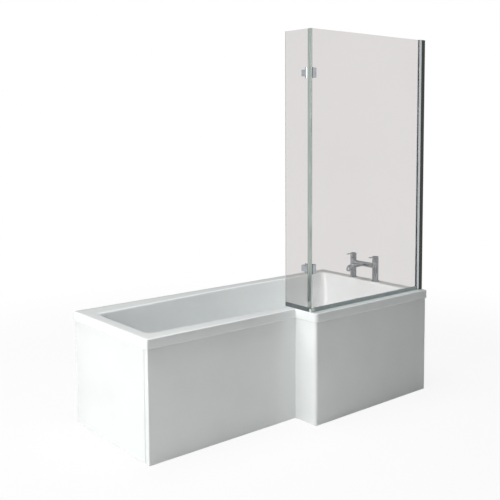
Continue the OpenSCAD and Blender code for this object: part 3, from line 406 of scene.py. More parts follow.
def threaded(radius: float, low: float, high: float, pitch: float, depth: float,
             sides: int = 24) -> Array:
    """A screwed bar: a ridge that climbs by one pitch a turn, fading at both ends.

    The radius is radius - depth (1 - cos(2 pi (z / pitch - a / 2 pi))) / 2, and the fade brings it
    down to the root over one pitch.

    Args:
        radius: Radius over the crests.
        low: Height of the lower end.
        high: Height of the upper end.
        pitch: Height of one turn, drawn coarser than the real one, which is too fine to show.
        depth: Height of the ridge.
        sides: Points round the bar.

    Returns:
        Rings as (n, sides, 3), for Skin.tube.
    """
    z = spaced(low, high, max(4, int((high - low) / pitch * 5)))[:, None]
    angle = np.arange(sides)[None] * 2 * math.pi / sides
    ridge = (1 + np.cos(2 * math.pi * z / pitch - angle)) / 2
    fade = np.clip(np.minimum(z - low, high - z) / pitch, 0, 1)
    r = radius - depth + depth * ridge * fade
    return np.stack([r * np.cos(angle), r * np.sin(angle), np.broadcast_to(z, r.shape)], -1)


def hexagon_nut(across: float, bore: float, low: float, high: float, sides: int = 48) -> Array:
    """A six-sided nut with chamfered corners.

    In a direction a from the middle of a flat the hexagon's radius is across / (2 cos a), and a cone
    of 30 degrees from the flats' circle cuts the corners at both faces.

    Args:
        across: Distance across the flats.
        bore: Radius of the hole.
        low: Height of the lower face.
        high: Height of the upper face.
        sides: Points round the nut.

    Returns:
        A closed grid as (rings, sides, 3), for Skin.grid with close_u and close_v.
    """
    angle = np.arange(sides) * 2 * math.pi / sides
    away = np.mod(angle + math.pi / 6, math.pi / 3) - math.pi / 6
    flat = across / 2 / np.cos(away)
    z = np.array([low, low, low + 0.9, low + 1.8, high - 1.8, high - 0.9, high, high])
    lean = np.array([0, 0, 0.9, 1.8, 1.8, 0.9, 0, 0]) * math.sqrt(3)
    r = np.minimum(flat[None], (across / 2 + lean)[:, None])
    r[0] = bore
    r[-1] = bore
    return np.stack([r * np.cos(angle), r * np.sin(angle), np.broadcast_to(z[:, None], r.shape)], -1)


def linear(colour: str) -> tuple[float, float, float, float]:
    """An sRGB hex colour as linear red, green, blue and 1."""
    value = np.array([int(colour[i:i + 2], 16) for i in (1, 3, 5)]) / 255
    bent = np.where(value <= 0.04045, value / 12.92, ((value + 0.055) / 1.055) ** 2.4)
    return (*bent.tolist(), 1.0)


def add_node(tree: Tree, kind: str, inputs: Optional[dict[Any, Any]] = None,
             **settings: Any) -> Node:
    """Adds a node with its settings, and fills or links its inputs.

    Args:
        tree: The material's or the world's node tree.
        kind: The node's type.
        inputs: Values or sockets for its inputs, by name or number.
        **settings: The node's own settings.

    Returns:
        The node.
    """
    made = tree.nodes.new(kind)
    for key, value in settings.items():
        setattr(made, key, value)
    for key, value in (inputs or {}).items():
        if isinstance(value, Socket):
            tree.links.new(value, made.inputs[key])
        else:
            made.inputs[key].default_value = value
    return made


def blank_tree(holder: Any) -> Tree:
    """The emptied node tree of a material or a world."""
    holder.use_nodes = True
    holder.node_tree.nodes.clear()
    return holder.node_tree


def in_scene(name: str, data: Any) -> bpy.types.Object:
    """A new object of a mesh, a light or a camera, linked to the scene."""
    made = bpy.data.objects.new(name, data)
    bpy.context.scene.collection.objects.link(made)
    return made


class Grain(Enum):
    """Which way a finish's long marks run, as the stretch of its pattern along X, Y and Z."""

    EVEN = (1.0, 1.0, 1.0)
    ALONG_X = (0.06, 1.0, 1.0)
    ALONG_Y = (1.0, 0.06, 1.0)
    ALONG_Z = (1.0, 1.0, 0.03)


@dataclass(frozen=True)
class Finish:
    """A finish whose colour, gloss and bump vary by noise of real sizes.

    Attributes:
        name: Name of the material.
        slot: The record's slot that it belongs to; not used.
        colour: Main colour.
        shade: Colour where the broad pattern is highest.
        rough: Lowest and highest roughness.
        broad_mm: Size of the broad pattern.
        fine_mm: Size of the bumps.
        depth_mm: Depth of the bumps.
        metallic: 1 for a metal, which keeps the default IOR.
        ior: Index of refraction of anything else.
        grain: Which way the marks run.
    """

    name: str
    slot: str
    colour: str
    shade: str
    rough: tuple[float, float]
    broad_mm: float = 60.0
    fine_mm: float = 4.0
    depth_mm: float = 0.02
    metallic: float = 0.0
    ior: float = 1.5
    grain: Grain = Grain.EVEN

    def material(self) -> bpy.types.Material:
        """The finish's material, made on its first use."""
        made = bpy.data.materials.get(self.name)
        if made is None:
            made = bpy.data.materials.new(self.name)
            made.diffuse_color = linear(self.colour)
            tree = blank_tree(made)
            shader = add_node(tree, "ShaderNodeBsdfPrincipled")
            out = add_node(tree, "ShaderNodeOutputMaterial", {"Surface": shader.outputs[0]})
            self.dress(tree, shader, out)
        return made

    def space(self, tree: Tree) -> Socket:
        """Object coordinates, stretched along the grain."""
        coords = add_node(tree, "ShaderNodeTexCoord").outputs["Object"]
        return add_node(tree, "ShaderNodeMapping",
                        {"Vector": coords, "Scale": self.grain.value}).outputs[0]

    def noise(self, tree: Tree, size_mm: float, detail: float = 3.0,
              space: Optional[Socket] = None) -> Socket:
        """Noise whose features are about size_mm across, from 0 to 1.

        Args:
            tree: The material's node tree.
            size_mm: Size of the features.
            detail: How many finer layers it has.
            space: Coordinates, or None for space().

        Returns:
            The noise's factor.
        """
        place = space if space is not None else self.space(tree)
        return add_node(tree, "ShaderNodeTexNoise",
                        {"Vector": place, "Scale": 1 / (size_mm * MM), "Detail": detail}).outputs[0]

    def range(self, tree: Tree, value: Socket, low: float, high: float,
              start: float = 0.22, end: float = 0.78) -> Socket:
        """A value taken smoothly from start..end to low..high, and held at the ends."""
        return add_node(tree, "ShaderNodeMapRange",
                        {"Value": value, "From Min": start, "From Max": end, "To Min": low,
                         "To Max": high}, interpolation_type="SMOOTHSTEP").outputs[0]

    def blend(self, tree: Tree, factor: Socket, first: Any, second: Any) -> Socket:
        """A mix of two colours, each a hex colour or a socket."""
        ends = [linear(c) if isinstance(c, str) else c for c in (first, second)]
        return add_node(tree, "ShaderNodeMix", {0: factor, 6: ends[0], 7: ends[1]},
                        data_type="RGBA").outputs[2]

    def bump(self, tree: Tree, height: Socket, depth_mm: float) -> Socket:
        """A normal bent by a height from 0 to 1 that stands for depth_mm."""
        return add_node(tree, "ShaderNodeBump",
                        {"Height": height, "Distance": depth_mm * MM, "Strength": 1.0}).outputs[0]

    def tone(self, tree: Tree, pattern: Socket) -> Socket:
        """The main colour, which passes into the shade where a pattern is high."""
        return self.blend(tree, self.range(tree, pattern, 0, 1), self.colour, self.shade)

    def fill(self, tree: Tree, shader: Node, colour: Socket, gloss: Socket,
             height: Optional[Socket]) -> None:
        """Sets the shader's plain values and links its colour, roughness and normal.

        Args:
            tree: The material's node tree.
            shader: The Principled shader.
            colour: Its colour.
            gloss: Pattern that the roughness follows.
            height: Pattern that the bumps follow, or None for a flat surface.
        """
        shader.inputs["Metallic"].default_value = self.metallic
        if self.metallic == 0:
            shader.inputs["IOR"].default_value = self.ior
        tree.links.new(colour, shader.inputs["Base Color"])
        tree.links.new(self.range(tree, gloss, *self.rough), shader.inputs["Roughness"])
        if height is not None:
            tree.links.new(self.bump(tree, height, self.depth_mm), shader.inputs["Normal"])

    def dress(self, tree: Tree, shader: Node, out: Node) -> None:
        """Lets the broad pattern lead the colour and the gloss, and the fine one the bumps."""
        broad = self.noise(tree, self.broad_mm)
        fine = self.noise(tree, self.fine_mm, 2.0) if self.depth_mm > 0 else None
        self.fill(tree, shader, self.tone(tree, broad), broad, fine)


@dataclass(frozen=True)
class FibreBacking(Finish):
    """Sprayed resin with chopped glass strands, which cross as pale hairs under the resin."""

    strand_mm: float = 7.0
    stretch: tuple[float, float, float] = (0.12, 1.0, 1.0)
    turns: tuple[float, float] = (0.5, 2.0)
    hair: str = "#F1EEDF"
    hair_range: tuple[float, float] = (0.55, 0.7)

    def dress(self, tree: Tree, shader: Node, out: Node) -> None:
        """Adds two layers of strands, one along each of two directions, to the resin's colour."""
        coords = add_node(tree, "ShaderNodeTexCoord").outputs["Object"]
        broad = self.noise(tree, self.broad_mm, space=coords)
        strands = {}
        for layer, turn in enumerate(self.turns):
            laid = add_node(tree, "ShaderNodeMapping",
                            {"Vector": coords, "Rotation": (turn, turn / 2, turn),
                             "Scale": self.stretch}).outputs[0]
            strands[layer] = self.noise(tree, self.strand_mm, 4.0, laid)
        crossed = add_node(tree, "ShaderNodeMath", strands, operation="MAXIMUM").outputs[0]
        hair = self.range(tree, crossed, 0, 1, *self.hair_range)
        colour = self.blend(tree, hair, self.tone(tree, broad), self.hair)
        self.fill(tree, shader, colour, broad, crossed)


@dataclass(frozen=True)
class PressedFlakes(Finish):
    """Pressed wood flakes, each with its own tone and a slight step at its edge."""

    flake_mm: float = 9.0
    stretch: tuple[float, float, float] = (0.45, 1.0, 2.5)

    def dress(self, tree: Tree, shader: Node, out: Node) -> None:
        """Gives each cell of a flattened Voronoi pattern a tone between the two colours."""
        coords = add_node(tree, "ShaderNodeTexCoord").outputs["Object"]
        laid = add_node(tree, "ShaderNodeMapping",
                        {"Vector": coords, "Scale": self.stretch}).outputs[0]
        cells = add_node(tree, "ShaderNodeTexVoronoi",
                         {"Vector": laid, "Scale": 1 / (self.flake_mm * MM), "Randomness": 1.0})
        tone = add_node(tree, "ShaderNodeSeparateColor", {"Color": cells.outputs["Color"]}).outputs[0]
        self.fill(tree, shader, self.blend(tree, tone, self.colour, self.shade), tone, tone)


@dataclass(frozen=True)
class SawnWood(Finish):
    """Planed softwood, whose growth rings cross the batten as long darker bands."""

    ring_mm: float = 5.0
    late_range: tuple[float, float] = (0.42, 0.62)
    worn: str = "#E8D3A6"

    def dress(self, tree: Tree, shader: Node, out: Node) -> None:
        """Distorts noise into rings with paler patches; short fibres lead the gloss and bumps."""
        space = self.space(tree)
        warp = self.noise(tree, self.ring_mm * 6, 2.0, space)
        rings = add_node(tree, "ShaderNodeTexNoise",
                         {"Vector": space, "Scale": 1 / (self.ring_mm * MM), "Detail": 1.0,
                          "Distortion": 1.2}).outputs[0]
        fibre = self.noise(tree, self.fine_mm, 4.0, space)
        late = self.range(tree, rings, 0, 1, *self.late_range)
        grown = self.blend(tree, late, self.colour, self.shade)
        colour = self.blend(tree, self.range(tree, warp, 0, 0.5), grown, self.worn)
        self.fill(tree, shader, colour, fibre, fibre)


@dataclass(frozen=True)
class ClearSheet(Finish):
    """Clear glass or clear plastic, which lets the lamps through as well as the eye.

    Attributes:
        clear: How much of the surface's colour comes from light that passes through it.
        lets_through: Colour of the light that lamps send through it.
    """

    clear: float = 1.0
    lets_through: str = "#F4F6F5"

    def dress(self, tree: Tree, shader: Node, out: Node) -> None:
        """Sets the transmission and swaps in a Transparent shader for shadow rays."""
        super().dress(tree, shader, out)
        shader.inputs["Transmission Weight"].default_value = self.clear
        shadow = add_node(tree, "ShaderNodeLightPath").outputs["Is Shadow Ray"]
        passing = add_node(tree, "ShaderNodeBsdfTransparent", {"Color": linear(self.lets_through)})
        mixed = add_node(tree, "ShaderNodeMixShader",
                         {0: shadow, 1: shader.outputs[0], 2: passing.outputs[0]})
        tree.links.new(mixed.outputs[0], out.inputs["Surface"])


# Vacuum-formed acrylic sheet: deep even gloss with a very faint orange peel
ACRYLIC = Finish("white_acrylic_sheet", "white_acrylic", "#F2F5F5", "#EEF1F1", (0.10, 0.15),
                 broad_mm=300, fine_mm=9, depth_mm=0.010, ior=1.49)
# Sprayed polyester resin with chopped strand: dull cream with pale hairs
BACKING = FibreBacking("sprayed_fibreglass_backing", "white_acrylic", "#D9D2B4", "#C6BD99",
                       (0.45, 0.7), broad_mm=40, depth_mm=0.5, ior=1.56)
# Acrylic panel moulding: the same white with a softer gloss and slow waves
PANEL = Finish("white_panel_moulding", "white_panel", "#EEF1F0", "#EAEDEC", (0.2, 0.26),
               broad_mm=220, fine_mm=30, depth_mm=0.03, ior=1.49)
# Flooring-grade particle board
CHIPBOARD = PressedFlakes("particle_board", "chipboard", "#C9AC79", "#9C7A4B", (0.75, 0.9),
                          depth_mm=0.3)
# Planed spruce battens, with the grain along each batten
SPRUCE_X = SawnWood("spruce_along_x", "softwood", "#E2C48F", "#C99A5E", (0.55, 0.75), fine_mm=1.5,
                    depth_mm=0.15, grain=Grain.ALONG_X)
SPRUCE_Y = SawnWood("spruce_along_y", "softwood", "#E2C48F", "#C99A5E", (0.55, 0.75), fine_mm=1.5,
                    depth_mm=0.15, grain=Grain.ALONG_Y)
# Bright zinc plate on steel: bluish grey with a soft cloudy gloss
ZINC = Finish("bright_zinc_plate", "zinc_steel", "#C3C7CB", "#A9AFB5", (0.28, 0.42), broad_mm=12,
              fine_mm=1.5, depth_mm=0.02, metallic=1.0)
# Polished chromium on brass: a mirror with a slight blue-grey cast and the odd water mark
CHROME = Finish("polished_chrome", "chrome", "#AEB2B6", "#9FA4A8", (0.03, 0.07), broad_mm=18,
                fine_mm=6, depth_mm=0.004, metallic=1.0)
# Turned stainless steel
STAINLESS = Finish("turned_stainless_steel", "steel_pin", "#B9BBBD", "#9EA1A4", (0.18, 0.27),
                   broad_mm=6, fine_mm=0.8, depth_mm=0.01, metallic=1.0)
# Machined brass
BRASS = Finish("machined_brass", "brass", "#D0A858", "#B88C3E", (0.28, 0.38), broad_mm=10,
               fine_mm=0.8, depth_mm=0.01, metallic=1.0)
# Extruded and polished aluminium: long die lines down its length
ALUMINIUM = Finish("polished_aluminium_extrusion", "bright_aluminium", "#C9CDD0", "#A9AEB1",
                   (0.14, 0.26), broad_mm=3, fine_mm=1.2, depth_mm=0.02, metallic=1.0,
                   grain=Grain.ALONG_Z)
# The channel on the wall: the same extrusion, its colour painted dark to stand for the dark reflection
# that it shows
PAINTED_REFLECTION_CHANNEL = Finish("channel_painted_dark_reflection", "bright_aluminium", "#464844", "#383A36", (0.16, 0.26),
                 broad_mm=3, fine_mm=1.2, depth_mm=0.02, metallic=1.0, grain=Grain.ALONG_Z)
# The thin strip at the screen's corner: bright, with a slight green cast painted in to stand for the
# reflection of the glass beside it
STRIP_PAINTED_REFLECTION = Finish("corner_strip_painted_green_reflection", "bright_aluminium", "#B9C1BB", "#8F9893", (0.1, 0.2),
               broad_mm=3, fine_mm=1.2, depth_mm=0.015, metallic=1.0, grain=Grain.ALONG_Z)
# Moulded synthetic rubber: near black with a fine dull grain
RUBBER = Finish("moulded_epdm_rubber", "black_rubber", "#232527", "#2F3133", (0.6, 0.8),
                broad_mm=20, fine_mm=1.0, depth_mm=0.05, ior=1.52)
# Injection-moulded polypropylene: waxy off-white
POLYPROPYLENE = Finish("white_polypropylene", "white_plastic", "#E9E9E4", "#E0E0D9", (0.32, 0.45),
                       broad_mm=35, fine_mm=1.5, depth_mm=0.03, ior=1.49)
# Extruded PVC waste pipe: white, with faint draw lines
PIPE = Finish("white_pvc_pipe", "light_pipe", "#EDEDEA", "#E4E4E0", (0.28, 0.4), broad_mm=50,
              fine_mm=2.0, depth_mm=0.02, ior=1.53)
# Glass-filled nylon: mid grey with a sparkle of fibres
NYLON = Finish("grey_glass_filled_nylon", "grey_plastic", "#6E7276", "#5F6367", (0.4, 0.6),
               broad_mm=8, fine_mm=0.7, depth_mm=0.05, ior=1.53)
# Moulded acetal insert of the aerator
ACETAL = Finish("grey_acetal", "aerator_grey", "#9A9EA2", "#8B9094", (0.35, 0.5), broad_mm=6,
                fine_mm=0.8, depth_mm=0.03, ior=1.48)
# Toughened float glass: faintly grey and quite flat
GLASS = ClearSheet("toughened_clear_glass", "clear_glass", "#DCD9D8", "#DAD7D6", (0.0, 0.004),
                   broad_mm=400, depth_mm=0.0, ior=1.52)
# The same glass at its ground and polished edges: greener and darker, as the light runs in the sheet
GLASS_EDGE = ClearSheet("polished_glass_edge", "clear_glass", "#8E9E99", "#83948F", (0.1, 0.2),
                        broad_mm=60, depth_mm=0.0, ior=1.52, clear=0.5, lets_through="#C6D2CD")
# Extruded clear PVC: smoky grey-blue where it is seen along its length
SEAL = ClearSheet("clear_pvc_seal", "clear_seal", "#B4BEC0", "#A8B2B4", (0.28, 0.36), broad_mm=30,
                  fine_mm=3.0, depth_mm=0.01, ior=1.53, clear=0.12, lets_through="#DDE3E4")
# The wiper under the return panel: the same PVC, painted darker to stand for the shade seen through its
# lips
WIPER_PAINTED_SHADE = ClearSheet("pvc_wiper_painted_shade", "clear_seal", "#5E6668", "#535A5D", (0.28, 0.36), broad_mm=30,
                   fine_mm=3.0, depth_mm=0.01, ior=1.53, clear=0.08, lets_through="#C3CCCC")
# Moulded clear cap at the corner: milky, and painted paler still to stand for its highlights, with
# bright edges
CAP_PAINTED_HIGHLIGHT = ClearSheet("clear_cap_painted_highlight", "clear_seal", "#EDF1F0", "#E4E9E8", (0.08, 0.15),
                       broad_mm=12, depth_mm=0.0, ior=1.5, clear=0.35, lets_through="#E6ECEB")


def along_y(end: float, step_x: tuple[float, float],
            step_y: tuple[float, float]) -> Callable[[Array, Array], Array]:
    """Picks the faces of the battens that run along Y.

    Args:
        end: The X below which the narrow end's batten lies.
        step_x: The X between which the step's batten lies.
        step_y: The same for Y.

    Returns:
        A pick for Bench.eased.
    """
    def pick(at: Array, _: Array) -> Array:
        x, y = at[:, 0], at[:, 1]
        at_step = (x > step_x[0]) & (x < step_x[1]) & (y > step_y[0]) & (y < step_y[1])
        return (x < end) | at_step
    return pick


@dataclass
class Bench:
    """Puts finished pieces into the scene, each on the body of the CAD node that it stands for.

    Attributes:
        nodes: The CAD nodes by name.
        same_point_m: Points nearer than this are joined.
        flat_degrees: Faces that meet at less than this become one.
        sharp_degrees: Edges past this angle stay sharp.
        eased_degrees: Edges past this angle are eased.
    """

    nodes: dict[str, bpy.types.Object]
    same_point_m: float = 5e-6
    flat_degrees: float = 0.6
    sharp_degrees: float = 32.0
    eased_degrees: float = 40.0

    def add(self, name: str, mesh: bpy.types.Mesh, finishes: Sequence[Finish],
            *stands_for: str) -> bpy.types.Object:
        """Makes an object of a mesh, in place of CAD nodes of one body.

        Args:
            name: Name of the piece.
            mesh: Its mesh, in the frame of the bath.
            finishes: Its finishes, in the order of the mesh's numbers.
            *stands_for: The CAD nodes that it replaces.

        Returns:
            The piece.
        """
        numbers = np.zeros(len(mesh.polygons), int)
        mesh.polygons.foreach_get("material_index", numbers)
        mesh.materials.clear()
        for finish in finishes:
            mesh.materials.append(finish.material())
        mesh.polygons.foreach_set("material_index", np.minimum(numbers, len(finishes) - 1))
        piece = in_scene(name, mesh)
        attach(piece, self.nodes[stands_for[0]]["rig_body"])
        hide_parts(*stands_for)
        LOG.info("%s: %d faces, for %s", name, len(mesh.polygons), ", ".join(stands_for))
        return piece

    def eased(self, node: str, finish: Finish, width: float = 0.5, segments: int = 2,
              other: Optional[Finish] = None,
              pick: Optional[Callable[[Array, Array], Array]] = None) -> bpy.types.Object:
        """A copy of a CAD node whose triangles are joined and whose edges are eased.

        Args:
            node: The CAD node.
            finish: Its finish.
            width: Width of the eased edges.
            segments: Faces across each eased edge.
            other: A second finish, for the faces that pick names.
            pick: Which faces take it, by their middles in millimetres and their normals.

        Returns:
            The piece.
        """
        mesh = self.nodes[node].data.copy()
        mesh.name = "eased_" + node
        work = bmesh.new()
        work.from_mesh(mesh)
        bmesh.ops.remove_doubles(work, verts=work.verts, dist=self.same_point_m)
        bmesh.ops.dissolve_limit(work, angle_limit=math.radians(self.flat_degrees),
                                 verts=work.verts, edges=work.edges, delimit={"SEAM"})
        work.to_mesh(mesh)
        work.free()
        if mesh.has_custom_normals:
            mesh.attributes.remove(mesh.attributes["custom_normal"])
        mesh.shade_smooth()
        mesh.set_sharp_from_angle(angle=math.radians(self.sharp_degrees))
        finishes = [finish]
        numbers = np.zeros(len(mesh.polygons), int)
        if other is not None and pick is not None:
            finishes.append(other)
            middles = np.zeros(len(mesh.polygons) * 3)
            normals = np.zeros(len(mesh.polygons) * 3)
            mesh.polygons.foreach_get("center", middles)
            mesh.polygons.foreach_get("normal", normals)
            numbers = pick(middles.reshape(-1, 3) / MM, normals.reshape(-1, 3)).astype(int)
        piece = self.add("eased_" + node, mesh, finishes, node)
        mesh.polygons.foreach_set("material_index", numbers)
        bevel = piece.modifiers.new("eased_edges", "BEVEL")
        bevel.width = width * MM
        bevel.segments = segments
        bevel.limit_method = "ANGLE"
        bevel.angle_limit = math.radians(self.eased_degrees)
        bevel.use_clamp_overlap = True
        bevel.harden_normals = True
        return piece

    def make(self, name: str, skin: Skin, sharp: float, finish: Finish, node: str) -> None:
        """Makes a piece of one finish out of a skin, in place of one CAD node."""
        self.add(name, skin.mesh(name, sharp), [finish], node)

    def dress(self, finish: Finish, width: float, segments: int, *nodes: str) -> None:
        """Eases the edges of CAD nodes that share a finish."""
        for node in nodes:
            self.eased(node, finish, width, segments)


@dataclass
class Bath:
    """The moulded shell: an L of two wells in one basin, with a rim and a turned-down edge.

    Attributes:
        x_end: Where the rim ends at the narrow end, as the next five are its other edges.
        drop: Height of the lip's foot.
        notch_radius: Plan radius of the rim's inward corner.
        spread: How far each way the points at the rim's seventh corner are spread.
        lip_draft: How far the lip leans in from its foot to the rim.
        foot: Rounding of the lip's foot.
        basin_end: Where the basin starts at the narrow end, as the next four are its other edges.
        end_back: Y of the basin's back corner at the narrow end, and end_front of the front one.
        turn_x: X that a circle by the step reaches, which the sloped front wall touches.
        turn_front: Y that the same circle reaches.
        back_bend: Plan radius where the sloped back wall meets the straight one.
        deep_corner: Plan radius of the corners where the walls meet the curve to the floor.
        draft: How far the walls come in on their way down, and end_slope the narrow end.
        fall: How far the floor sinks towards the waste.
    """

    x_end: float = -850.0
    x_tap: float = 850.0
    x_step: float = 0.0
    y_back: float = 425.0
    y_front: float = -425.0
    y_narrow: float = -275.0
    rim: float = 565.0
    drop: float = 520.0
    floor: float = 165.0
    wall: float = 6.0
    end_radius: float = 10.0
    notch_radius: float = 2.0
    step_radius: float = 24.0
    tap_radius: float = 10.0
    spread: float = 40.0
    edge: float = 5.0
    roll: float = 8.0
    lip_draft: float = 1.2
    foot: float = 4.0
    basin_end: float = -785.0
    basin_tap: float = 780.0
    basin_step: float = 75.0
    basin_back: float = 350.0
    basin_front: float = -347.0
    end_back: float = 295.0
    end_front: float = -180.0
    turn_x: float = 225.0
    turn_front: float = -203.0
    back_bend: float = 1500.0
    rim_corner: float = 30.0
    deep_corner: float = 80.0
    inner_radius: float = 32.0
    draft: float = 40.0
    end_slope: float = 150.0
    floor_radius: float = 60.0
    waste: tuple[float, float] = (570.0, 30.0)
    dish_radius: float = 38.0
    seat_radius: float = 35.6
    seat_depth: float = 2.0
    hole_radius: float = 26.0
    fall: float = 0.8

    def outline(self, inset: float) -> Array:
        """The rim's outline moved in by inset, as one loop of seven corners.

        The seventh corner lies on the straight back, opposite the basin's step, so that each corner
        of the rim has its own corner of the basin.
        """
        corners = np.array([
            [self.x_end, self.y_back], [self.x_end, self.y_narrow], [self.x_step, self.y_narrow],
            [self.x_step, self.y_front], [self.x_tap, self.y_front], [self.x_tap, self.y_back],
            [self.basin_step, self.y_back]])
        radii = np.array([self.end_radius, self.end_radius, self.notch_radius, self.step_radius,
                          self.tap_radius, self.tap_radius, self.spread])
        change = np.array([-1, -1, 1, -1, -1, -1, 0]) * inset
        return rounded(turned(corners, inset), np.maximum(radii + change, 0.5), 9, 12)

    def basin(self, inset: float, end_inset: float, radius: float, grow: float = 0.0) -> Array:
        """The basin's outline at one level, as one loop of seven corners.

        Each edge is a straight line. The two sloped ones, along the narrow part, touch circles of
        the level's radius whose centres keep their place; the corners are where the lines cross.

        Args:
            inset: How far the walls have come in from the rim.
            end_inset: The same for the narrow end, which slopes more.
            radius: Plan radius of the corners.
            grow: How far the whole outline moves out again.

        Returns:
            The loop as (n, 2).
        """
        back, front = self.basin_back - inset, self.basin_front + inset
        end, tap = self.basin_end + end_inset, self.basin_tap - inset
        step = self.basin_step + inset
        high = self.tangent((end + radius, self.end_back - inset - radius),
                            (self.basin_step, back - radius), radius)
        low = self.tangent((self.turn_x - inset - radius, self.turn_front + inset + radius),
                           (end + radius, self.end_front + inset + radius), radius)
        corners = np.array([
            [end, self.height(high, end)], [end, self.height(low, end)],
            [step, self.height(low, step)], [step, front], [tap, front], [tap, back],
            [(back - high[0][1]) / high[1] + high[0][0], back]])
        radii = np.array([radius, radius, self.inner_radius, radius, radius, radius,
                          self.back_bend])
        change = np.array([1, 1, -1, 1, 1, 1, 0]) * grow
        return rounded(turned(corners, -grow), np.maximum(radii + change, 2.0), 9, 12)

    @staticmethod
    def tangent(first: Sequence[float], second: Sequence[float],
                radius: float) -> tuple[Array, float]:
        """The line that touches two equal circles on their left side, as a point and a slope."""
        a, b = np.asarray(first, float), np.asarray(second, float)
        along = unit(b - a)
        away = np.array([-along[1], along[0]])
        return a + radius * away, float(along[1] / along[0])

    @staticmethod
    def height(line: tuple[Array, float], x: float) -> float:
        """Where a line of tangent() is at x."""
        return float(line[0][1] + line[1] * (x - line[0][0]))

    def profile(self) -> Array:
        """The basin's section from the rim to the floor, as rows of (inset, end inset, radius, z).

        The roll is a quarter circle, z = rim - roll (1 - cos a), laid on the leaning wall. The wall
        runs straight. Below it a quadratic curve meets the floor level, with its middle point where
        the wall's line reaches the floor: z = floor + floor_radius (1 - s)^2.
        """
        depth = self.rim - self.floor - self.floor_radius
        a = spaced(0, math.pi / 2, 8)
        drop = self.roll * (1 - np.cos(a))
        stand = self.roll * (1 - np.sin(a))
        t = drop / depth
        grown = self.deep_corner - self.rim_corner
        rolled = np.stack([self.draft * t - stand, self.end_slope * t - stand,
                           self.rim_corner + grown * t + stand, self.rim - drop], -1)
        t = spaced(self.roll / depth, 1, 9)[1:]
        wall = np.stack([self.draft * t, self.end_slope * t, self.rim_corner + grown * t,
                         self.rim - depth * t], -1)
        s = spaced(0, 1, 14)[1:]
        past = (self.rim - self.floor) / depth
        lean = (1 - s) ** 2 + 2 * s * (1 - s) * past
        inset, end = (slope * lean + (slope + self.floor_radius) * s ** 2
                      for slope in (self.draft, self.end_slope))
        z = self.floor + self.floor_radius * (1 - s) ** 2
        bowl = np.stack([inset, end, self.deep_corner + self.draft - inset, z], -1)
        return np.concatenate([rolled, wall, bowl])

    def floor_rings(self, loop: Array, start: float, end: float, radius: float,
                    count: int) -> list[Array]:
        """Rings from a loop to a circle round the waste.

        A point goes straight to the circle's point in the same direction from the waste, and its
        height goes evenly from start to end.
        """
        away = loop - self.waste
        target = np.asarray(self.waste) + radius * unit(away)
        steps = 1 - (1 - spaced(0, 1, count)) ** 1.3
        return [at_height(loop + (target - loop) * s, start + (end - start) * s) for s in steps]

    def inside(self) -> list[Array]:
        """Rings of the white side, from the lip's foot over the rim and down to the waste hole."""
        rings = []
        for a in spaced(0, math.pi / 2, 6):
            rings.append(at_height(self.outline(self.foot * (1 - math.sin(a))),
                                   self.drop + self.foot * (1 - math.cos(a))))
        for a in spaced(0, math.pi / 2, 6):
            rings.append(at_height(self.outline(self.lip_draft + self.edge * (1 - math.cos(a))),
                                   self.rim - self.edge * (1 - math.sin(a))))
        outer = rings[-1]
        profile = self.profile()
        inner = at_height(self.basin(*profile[0, :3]), self.rim)
        rings += [outer + (inner - outer) * s for s in spaced(0, 1, 6)[1:-1]]
        rings += [at_height(self.basin(*row[:3]), row[3]) for row in profile]
        rings += self.floor_rings(rings[-1][:, :2], self.floor, self.floor - self.fall,
                                  self.dish_radius, 9)[1:]
        around = self.floor_rings(rings[-1][:, :2], 0, 0, self.seat_radius, 2)[1]
        hole = self.floor_rings(around[:, :2], 0, 0, self.hole_radius, 2)[1]
        rings += [around + [0, 0, self.floor - self.seat_depth],
                  hole + [0, 0, self.floor - self.seat_depth],
                  hole + [0, 0, self.floor - self.wall]]
        return rings

    def underside(self, hole: Array) -> list[Array]:
        """Rings of the sprayed side, from the waste hole out and up to the inside of the lip.

        Each point of the profile moves out square to it by the wall: with (di, dz) the profile's
        step, the outline grows by wall |dz| / |(di, dz)| and sinks by wall di / |(di, dz)|.
        """
        profile = self.profile()[7:]
        change = unit(np.gradient(profile[:, [0, 3]], axis=0))
        grow = self.wall * np.abs(change[:, 1])
        sink = self.wall * np.abs(change[:, 0])
        loops = [at_height(self.basin(*row[:3], g), row[3] - s)
                 for row, g, s in zip(profile, grow, sink)]
        floor = self.floor_rings(loops[-1][:, :2], loops[-1][0, 2], hole[0, 2],
                                 self.hole_radius, 6)
        rings = [hole] + floor[::-1][1:] + loops[::-1][1:-1]
        deck = self.rim - self.wall
        # The turn from the wall to the underside of the rim, as (out, down)
        for out, down in ((0, 8), (3, 1), (8, 0)):
            rings.append(at_height(self.basin(*profile[0, :3], self.wall + out), deck - down))
        inner = rings[-1]
        outer = at_height(self.outline(self.wall + 5), deck)
        rings += [inner + (outer - inner) * s for s in spaced(0, 1, 5)[1:]]
        # The turn into the lip and the lip's chamfered foot, as (in, height)
        for inset, z in ((1.5, deck - 1.5), (0, deck - 5), (0, self.drop + 1), (-1, self.drop)):
            rings.append(at_height(self.outline(self.wall + inset), z))
        return rings

    def build(self, bench: Bench) -> None:
        """Makes the shell as one closed skin, white above and sprayed below."""
        skin = Skin()
        white = self.inside()
        sprayed = self.underside(white[-1])
        skin.grid(np.stack(white), close_v=True)
        skin.grid(np.stack(sprayed), close_v=True, finish=1)
        skin.grid(np.stack([sprayed[-1], white[0]]), close_v=True)
        bench.add("bath_shell_moulding", skin.mesh("bath_shell_moulding", 50),
                  [ACRYLIC, BACKING], "bath_shell")


